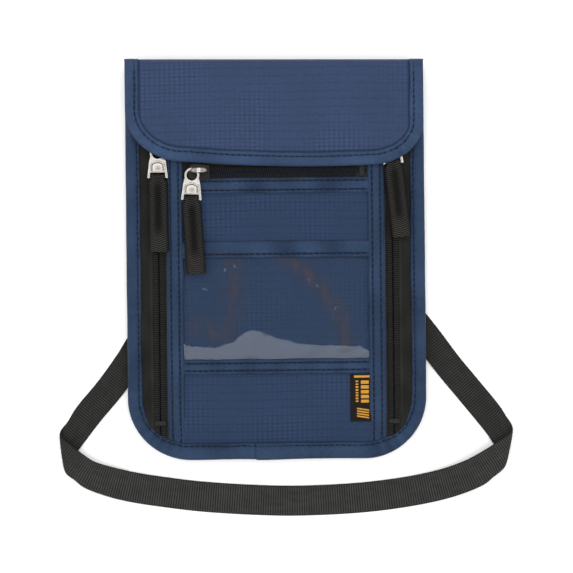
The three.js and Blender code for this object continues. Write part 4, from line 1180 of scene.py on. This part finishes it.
# painted shade on the cloth just inside the binding
cells = np.clip(cells - 0.9 * dip(np.clip(from_binding - 0.1, -0.6, None), 0.5), 0, 1)
seam_dip = -0.25 * (1 - inside)
relief_depth = -0.14 * (1 - cells)
flap_cloth = piece(
    "flap_cloth",
    slab(flap_point(fx, fr, relief_depth + seam_dip * 0.5), flap_point(fx, fr, seam_dip * 0.5 - 0.6)),
    FLAP_RIPSTOP, None, ["flap_outer", "flap_spine"], both(fx, fr, cells),
)
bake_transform(flap_cloth)

gx, gr = flap_grid(1.8, 72.0, 120, 50, FOLD_START - 1)
piece("flap_lining_cloth", slab(flap_point(gx, gr, -0.75), flap_point(gx, gr, -1.05)), LINING, "flap",
      ["flap_lining"], both(gx, gr, 0.5 + 0.3 * ripple(gx, gr, 25, 176)))
hook_low, hook_high = box("hook_tape")
fuzzy_tape("hook_tape_pile", "hook_tape", "flap", hook_low[2], hook_high[2] + 0.25, 177)

# The binding's path: down the left side, along the edge and up the right side, from fold to fold.
side_turn = np.linspace(0, math.pi / 2, 50)
left_x = -(FLAP_HALF_W - LEFT_CORNER[0]) - LEFT_CORNER[0] * np.cos(side_turn)
right_x = (FLAP_HALF_W - RIGHT_CORNER[0]) + RIGHT_CORNER[0] * np.sin(side_turn)
middle_x = np.linspace(left_x[-1], right_x[0], 40)[1:-1]
path_x = np.concatenate([left_x, middle_x, right_x])
path = np.stack([path_x, flap_edge_y(path_x, 0)], 1)
path = np.concatenate([[[-FLAP_HALF_W, FOLD_START + FOLD_TURN]], path, [[FLAP_HALF_W, FOLD_START + FOLD_TURN]]])
path, run = resample(path, 0.7)
inward = left_of(unit(np.gradient(path, axis=0)))
FLAP_PROFILE = np.array([
    (7.0, 0.12), (6.75, 0.38), (6.3, 0.5), (5.7, 0.5), (5.2, 0.46), (4.9, 0.44), (4.4, 0.62), (4.0, 0.84), (3.2, 0.92),
    (2.0, 0.84), (1.1, 0.55), (0.35, 0.0), (0.0, -0.6), (0.3, -1.15), (1.0, -1.5), (2.4, -1.68),
    (4.5, -1.6), (7.0, -1.35), (7.0, -1.1), (4.5, -1.2), (2.0, -1.15), (1.1, -0.6), (2.0, -0.05),
    (4.5, -0.02), (7.0, -0.1),
])
around = np.concatenate([[0], np.cumsum(np.linalg.norm(np.diff(FLAP_PROFILE, axis=0), axis=1))])
n = np.broadcast_to(FLAP_PROFILE[:, 0], (len(run), len(FLAP_PROFILE))).copy()
h = np.broadcast_to(FLAP_PROFILE[:, 1], (len(run), len(FLAP_PROFILE))).copy()
outer = (np.arange(len(FLAP_PROFILE)) < 13)[None, :]
curved = dip(np.abs(path[:, 0]) - 62, 11) * (path[:, 1] < 75)
pucker = ripple(run, run * 0, 6, 181) * (0.05 + 0.12 * curved)
inner_edge = np.clip((n - 3) / 4, 0, 1)
h = h + outer * (pucker[:, None] * dip(n - 5.0, 2.4) + 0.06 * ripple(run, run * 0, 30, 182)[:, None])
n = n + inner_edge * (0.2 * ripple(run, run * 0, 22, 183) + 0.07 * ripple(run, run * 0, 7, 184))[:, None]
places = path[:, None] + inward[:, None] * n[..., None]
rings = flap_point(places[..., 0], places[..., 1], h)
# painted highlight on the puckers; painted shade along the inner edge, in the stitch groove and on the outer rim
relief = 0.66 + 0.22 * ripple(run[:, None], around[None, :] * 2, 26, 185) + outer * pucker[:, None] * 1.2
relief = relief - 0.9 * dip(FLAP_PROFILE[None, :, 0] - 7.0, 0.3) - 0.5 * dip(FLAP_PROFILE[None, :, 0] - 5.0, 0.45)
relief = relief - 0.35 * dip(FLAP_PROFILE[None, :, 0], 0.5)
cloth = np.stack(np.broadcast_arrays(around[None, :], run[:, None], np.clip(relief, 0, 1)), -1)
flap_binding = piece("flap_binding_tape", tube(rings), FLAP_BLUE, None, ["flap_binding"], cloth.reshape(-1, 3))
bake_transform(flap_binding)

stitch_n = 4.9
places = path + inward * (stitch_n + 0.1 * ripple(run, run * 0, 18, 186))[:, None]
keep = places[:, 1] < FOLD_START - 0.5
stitch_line = flap_point(places[keep, 0], places[keep, 1], 0.42)
seam("flap_stitches", stitch_line, "flap", seed=187)

# The binding round the fold's two ends, on the back's half of the fold.
for side, sign in (("left", -1), ("right", 1)):
    fold_run = np.linspace(FOLD_START - 3.0, FOLD_START + FOLD_TURN, 26)
    profile = np.array([(0, 0.3), (0.5, 0.75), (1.4, 1.0), (3.0, 1.05), (5.2, 0.9), (6.8, 0.75), (7.2, 0.35),
                        (7.0, 0.05), (4.0, 0.05), (1.2, 0.0), (0.3, -0.6)])
    xs = (HALF_W + 0.05 - profile[:, 0]) * sign
    rings = back_point(np.broadcast_to(xs[None, :], (26, len(profile))),
                       np.broadcast_to(fold_run[:, None], (26, len(profile))),
                       np.broadcast_to(profile[None, :, 1], (26, len(profile))))
    cloth = np.stack(np.broadcast_arrays(xs[None, :], fold_run[:, None], 0.6), -1).reshape(-1, 3)
    wrap = piece(f"{side}_fold_binding", tube(rings), BLUE, None, (), cloth)
    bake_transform(wrap)

# ---------------------------------------------------------------- anchor patches

for side, x, turn, seed in (("left", -62, -35, 191), ("right", 61, 43, 193)):
    low, high = box(f"{side}_anchor_patch")
    xx, yy = np.meshgrid(np.linspace(-5.5, 5.5, 24), np.linspace(-8.5, 8.5, 34))
    edge_gap = np.minimum(5.5 - np.abs(xx), 8.5 - np.abs(yy))
    zz = low[2] + 0.12 + 0.25 * dip(edge_gap, 0.5) + 0.05 * ripple(xx, yy, 8, seed)
    points, faces = slab(np.stack([xx, yy, 0 * xx + high[2]], -1), np.stack([xx, yy, zz - 0.1], -1))
    middle = ((low + high) / 2)[:2]
    piece(f"{side}_anchor_patch_cloth", placed((points, faces), (*middle, 0), math.radians(turn)), BLUE,
          "pouch", [f"{side}_anchor_patch"], both(xx, yy, 0.6))
    loop = np.array([(-4.2, -7, 0), (4.2, -7, 0), (4.2, 7, 0), (-4.2, 7, 0), (-4.2, -7, 0), (4.2, 7, 0)])
    outline, _ = placed((loop, []), (*middle, low[2]), math.radians(turn))
    seam(f"{side}_anchor_stitches", outline, "pouch", up=(0, 0, -1), pitch=2.2, length=1.8, seed=seed)

# ---------------------------------------------------------------- sliders, pullers and tabs

BAR_DROP = 15.1


def arch(width_of, points, thickness=0.7):
    """A bent bar over a slider, along Y: [y, z] points, with a width at each."""
    line, run = curve_through([[0, y, z] for y, z in points], 0.25)
    way = unit(np.gradient(line, axis=0))
    normal = np.cross(way, [1, 0, 0])
    turn = np.linspace(0, 2 * math.pi, 12, endpoint=False)
    half = width_of(run / run[-1]) / 2
    shape_x, shape_n = np.cos(turn), np.sin(turn)
    rings = line[:, None] + half[:, None, None] * shape_x[None, :, None] * np.array([1, 0, 0]) \
        + (thickness / 2) * shape_n[None, :, None] * normal[:, None]
    return tube(rings)


def slider_shape(below, top_z):
    """A slider on its zip: two shield-shaped plates, side flanges and a post."""
    w, l = 4.2, 5.3
    nose = [(w, l - 3), (w - 0.25, l - 1.3), (w - 1.1, l - 0.4), (w - 2.4, l)]
    outline = nose + [(-x, y) for x, y in reversed(nose)] + [(-w + 0.9, -l), (w - 0.9, -l)]
    flanges = [plate([[(s * (w - 0.05), l - 3.2), (s * (w - 0.85), l - 3.2), (s * (w - 1.6), -l + 0.3),
                       (s * (w - 0.95), -l + 0.3)]], top_z - 1.1, top_z + 0.2, 0.15) for s in (1, -1)]
    return merge(
        plate([outline], -below - 0.5, -below, 0.18),
        plate([outline], top_z, top_z + 0.6, 0.24),
        plate([rounded(-0.5, 0.5, 1.3, l - 0.5, 0.3)], -below - 0.1, top_z + 0.1, 0.05),
        *flanges,
    )


def crown_shape(top_z, arch_z, crown_w, offset):
    """The bridge over a slider that its puller hangs from."""
    points, faces = arch(
        lambda t: 1.2 + (crown_w - 1.2) * smooth((0.33 - np.abs(t - 0.5)) / 0.17),
        [(-3.7, top_z + 0.3), (-4.0, top_z + 1.5), (-3.8, arch_z - 0.1), (-2.6, arch_z + 0.33),
         (0, arch_z + 0.38), (2.6, arch_z + 0.33), (3.8, arch_z - 0.1), (4.0, top_z + 1.5),
         (3.7, top_z + 0.3)], 0.8)
    lifted = points.copy()
    lifted[:, 0] += offset * smooth((points[:, 2] - arch_z + 0.6) / 0.6)
    return lifted, faces


def puller_shape():
    """A puller from its ring's bar at the origin: ring, blank plate with a sunk panel, two legs, bar."""
    ring_y, ring_r, hole_r = -3.3, 3.7, 2.6
    ring = [(ring_r * math.cos(a), ring_y + ring_r * math.sin(a))
            for a in np.linspace(-0.35, math.pi + 0.35, 26)]
    left_side = [(-4.25, -7.6), (-4.55, -10.5), (-4.95, -13.6), (-5.1, -15.0), (-4.95, -15.5), (-4.5, -15.65),
                 (-4.1, -15.5), (-3.85, -15.0), (-3.6, -12.75)]
    right_side = [(-x, y) for x, y in reversed(left_side)]
    outline = ring + left_side + right_side
    hole = [(hole_r * math.cos(a), ring_y + hole_r * math.sin(a)) for a in np.linspace(0, 2 * math.pi, 28)[:-1]]
    panel = [(-3.0, -11.9), (-2.9, -9.2)] + [
        (2.9 * math.cos(a), -9.2 + 1.5 * math.sin(a)) for a in np.linspace(math.pi, 0, 9)[1:-1]
    ] + [(2.9, -9.2), (3.0, -11.9)]
    blank = [(-2.55, -12.3), (-2.5, -9.25)] + [
        (2.5 * math.cos(a), -9.25 + 1.15 * math.sin(a)) for a in np.linspace(math.pi, 0, 9)[1:-1]
    ] + [(2.5, -9.25), (2.55, -12.3)]
    bar = spindles([(-4.6, -BAR_DROP, 0)], [(4.6, -BAR_DROP, 0)], 0.45, sides=12)
    return merge(
        plate([outline, hole], -0.5, 0.22, 0.16),
        plate([outline, hole, panel], 0.0, 0.5, 0.14),
        plate([blank], 0.0, 0.47, 0.1),
        bar,
    )


TAB_RUN, TAB_HALF_W, NECK_HALF_W, TAB_HALF_T = 37.0, 4.8, 3.6, 1.1


def tab_shape(seed):
    """A doubled webbing tab from its bar at the origin, pinched to a channel along its upper part."""
    around_top = np.linspace(0, math.pi / 2, 9)
    front_run = np.linspace(0, 1, 170)
    u = np.linspace(-1, 1, 35)
    rows = [(1.55 * math.sin(a), 1.55 * math.cos(a)) for a in around_top[::-1]]
    profile_y = np.array([r[0] for r in rows] + list(-TAB_RUN * front_run[1:]))
    profile_z = np.array([r[1] for r in rows] + [max(TAB_HALF_T, 1.55 + 0.14 * y) if y > -4 else TAB_HALF_T
                                                for y in -TAB_RUN * front_run[1:]])
    drop = -profile_y
    half = NECK_HALF_W + (TAB_HALF_W - NECK_HALF_W) * smooth((drop - 0.8) / 2.0)
    half = half - 0.25 * smooth((drop - TAB_RUN + 1.0) / 1.0)
    x = half[:, None] * u[None, :]
    dd = np.broadcast_to(drop[:, None], x.shape)
    rib = 0.5 + 0.5 * np.cos(2 * math.pi * (dd + 0.35 * np.abs(x) + 0.1 * ripple(x, dd, 9, seed)) / 1.08)
    channel = dip(x, 2.0) * smooth((dd - 1) / 5) * (1 - smooth((dd - 23) / 8))
    sewn = smooth((dd - 23) / 8)
    flank = np.abs(u)[None, :] ** 6
    # painted shade: the colour follows the ribs, darker between them, in the channel and on the flanks
    rib = rib * (1 - 0.6 * channel) * (1 - 0.7 * flank) * (0.75 + 0.25 * np.maximum(sewn, dip(np.abs(x) - 2.9, 1.6)))
    z = profile_z[:, None] - 0.2 * (1 - rib) - 0.25 * channel - 0.45 * flank
    z = z * (1 - 0.35 * smooth((dd - TAB_RUN + 1.2) / 1.2))
    top = np.stack([x, np.broadcast_to(profile_y[:, None], x.shape), z], -1)
    bottom = top * [1, 1, -1]
    return slab(top[:, ::-1], bottom[:, ::-1]), both(x[:, ::-1], dd, rib[:, ::-1] ** 1.4 * 0.85)


PULLS = (
    ("left", (-58, 57, 8.6), 0, (-58, 55.6, 12.2), 0, 0.4, (0.4, 1.7, 4.5, 2.4, 0.0)),
    ("right", (58, 63.0, 8.6), 0, (57.6, 61.6, 12.2), 4, 6, (0.4, 1.7, 4.5, 2.4, 0.0)),
    ("front", (-37.5, 42.9, 11.8), 90, (-40.8, 44.5, 15.1), -2, 3.2, (0.3, 1.6, 5.1, 2.5, 0.75)),
)
for number, (side, at, turn, pivot, lean, tab_lean, sizes) in enumerate(PULLS):
    below, top_z, arch_z, crown_w, offset = sizes
    shape = slider_shape(below, top_z)
    # painted shade: the slider's top plate is painted near black and the rest of it darkened a little
    painted_light = np.where(shape[0][:, 2] > top_z + 0.55, -0.2, 0.6)
    piece(f"{side}_slider_body", placed(shape, at, math.radians(turn)), PAINTED_LIGHT_METAL,
          f"{side}_slider", [f"{side}_slider"], np.stack([*shape[0][:, :2].T, painted_light], 1))
    shape = crown_shape(top_z, arch_z, crown_w, offset)
    # painted highlight along the crown's middle; painted shade at its sides, ends and legs
    over, along = np.abs(shape[0][:, 1]) / (crown_w / 2), np.abs(shape[0][:, 0])
    painted_light = 1.25 * (1 - 0.75 * smooth((over - 0.5) / 0.4)) * (1 - 0.4 * smooth((along - 3.0) / 1.2))
    painted_light = painted_light * smooth((shape[0][:, 2] - arch_z + 0.9) / 0.8)
    piece(f"{side}_slider_crown", placed(shape, at, math.radians(turn)), PAINTED_LIGHT_METAL,
          f"{side}_slider", (), np.stack([*shape[0][:, :2].T, painted_light], 1))
    shape = puller_shape()
    # painted shade: the puller's sunk panel and lower plate are darker than its raised face
    painted_light = smooth((shape[0][:, 2] - 0.18) / 0.3)
    piece(f"{side}_puller_plate", placed(shape, pivot, math.radians(lean)), PAINTED_LIGHT_METAL,
          f"{side}_puller", [f"{side}_puller"], np.stack([*shape[0][:, :2].T, painted_light], 1))
    c, s = math.cos(math.radians(lean)), math.sin(math.radians(lean))
    bar_at = (pivot[0] + BAR_DROP * s, pivot[1] - BAR_DROP * c, pivot[2])
    shape, cloth = tab_shape(200 + number)
    piece(f"{side}_tab_webbing", placed(shape, bar_at, math.radians(tab_lean)), TAB,
          f"{side}_pull_tab", [f"{side}_pull_tab"], cloth, crease=60)

# ---------------------------------------------------------------- floor and light

FLOOR_HALF = 9.0
floor_mesh = bpy.data.meshes.new("floor")
floor_mesh.from_pydata([(-FLOOR_HALF, -FLOOR_HALF, 0), (FLOOR_HALF, -FLOOR_HALF, 0),
                        (FLOOR_HALF, FLOOR_HALF, 0), (-FLOOR_HALF, FLOOR_HALF, 0)], [], [(0, 1, 2, 3)])
floor = bpy.data.objects.new("floor", floor_mesh)
bpy.context.collection.objects.link(floor)
floor.location.z = -0.0002
floor_material, floor_tree, floor_shader = new_material("floor")
floor_shader.inputs["Base Color"].default_value = (0.93, 0.93, 0.93, 1)
floor_shader.inputs["Roughness"].default_value = 0.9
floor_shader.inputs["Specular IOR Level"].default_value = 0.0
floor_mesh.materials.append(floor_material)

world = bpy.data.worlds.new("studio")
bpy.context.scene.world = world
world.use_nodes = True
sky = world.node_tree
direction = node(sky, "TexCoord").outputs["Generated"]
height = node(sky, "SeparateXYZ", {0: direction}).outputs[2]
ramp = node(sky, "ValToRGB", {0: height})
STUDIO = ((0.0, 1.0), (0.46, 1.0), (0.52, 0.25), (0.64, 0.25), (0.7, 2.35), (0.989, 2.35), (0.9945, 0.1))
while len(ramp.color_ramp.elements) > 1:
    ramp.color_ramp.elements.remove(ramp.color_ramp.elements[-1])
for number, (place, strength) in enumerate(STUDIO):
    stop = ramp.color_ramp.elements[0] if number == 0 else ramp.color_ramp.elements.new(place)
    stop.position = place
    stop.color = (strength / 2.5, strength / 2.5, strength / 2.5, 1)
sky.links.new(ramp.outputs[0], sky.nodes["Background"].inputs["Color"])
sky.nodes["Background"].inputs["Strength"].default_value = 2.5

bpy.context.scene.view_settings.view_transform = "Standard"
bpy.context.scene.view_settings.look = "None"
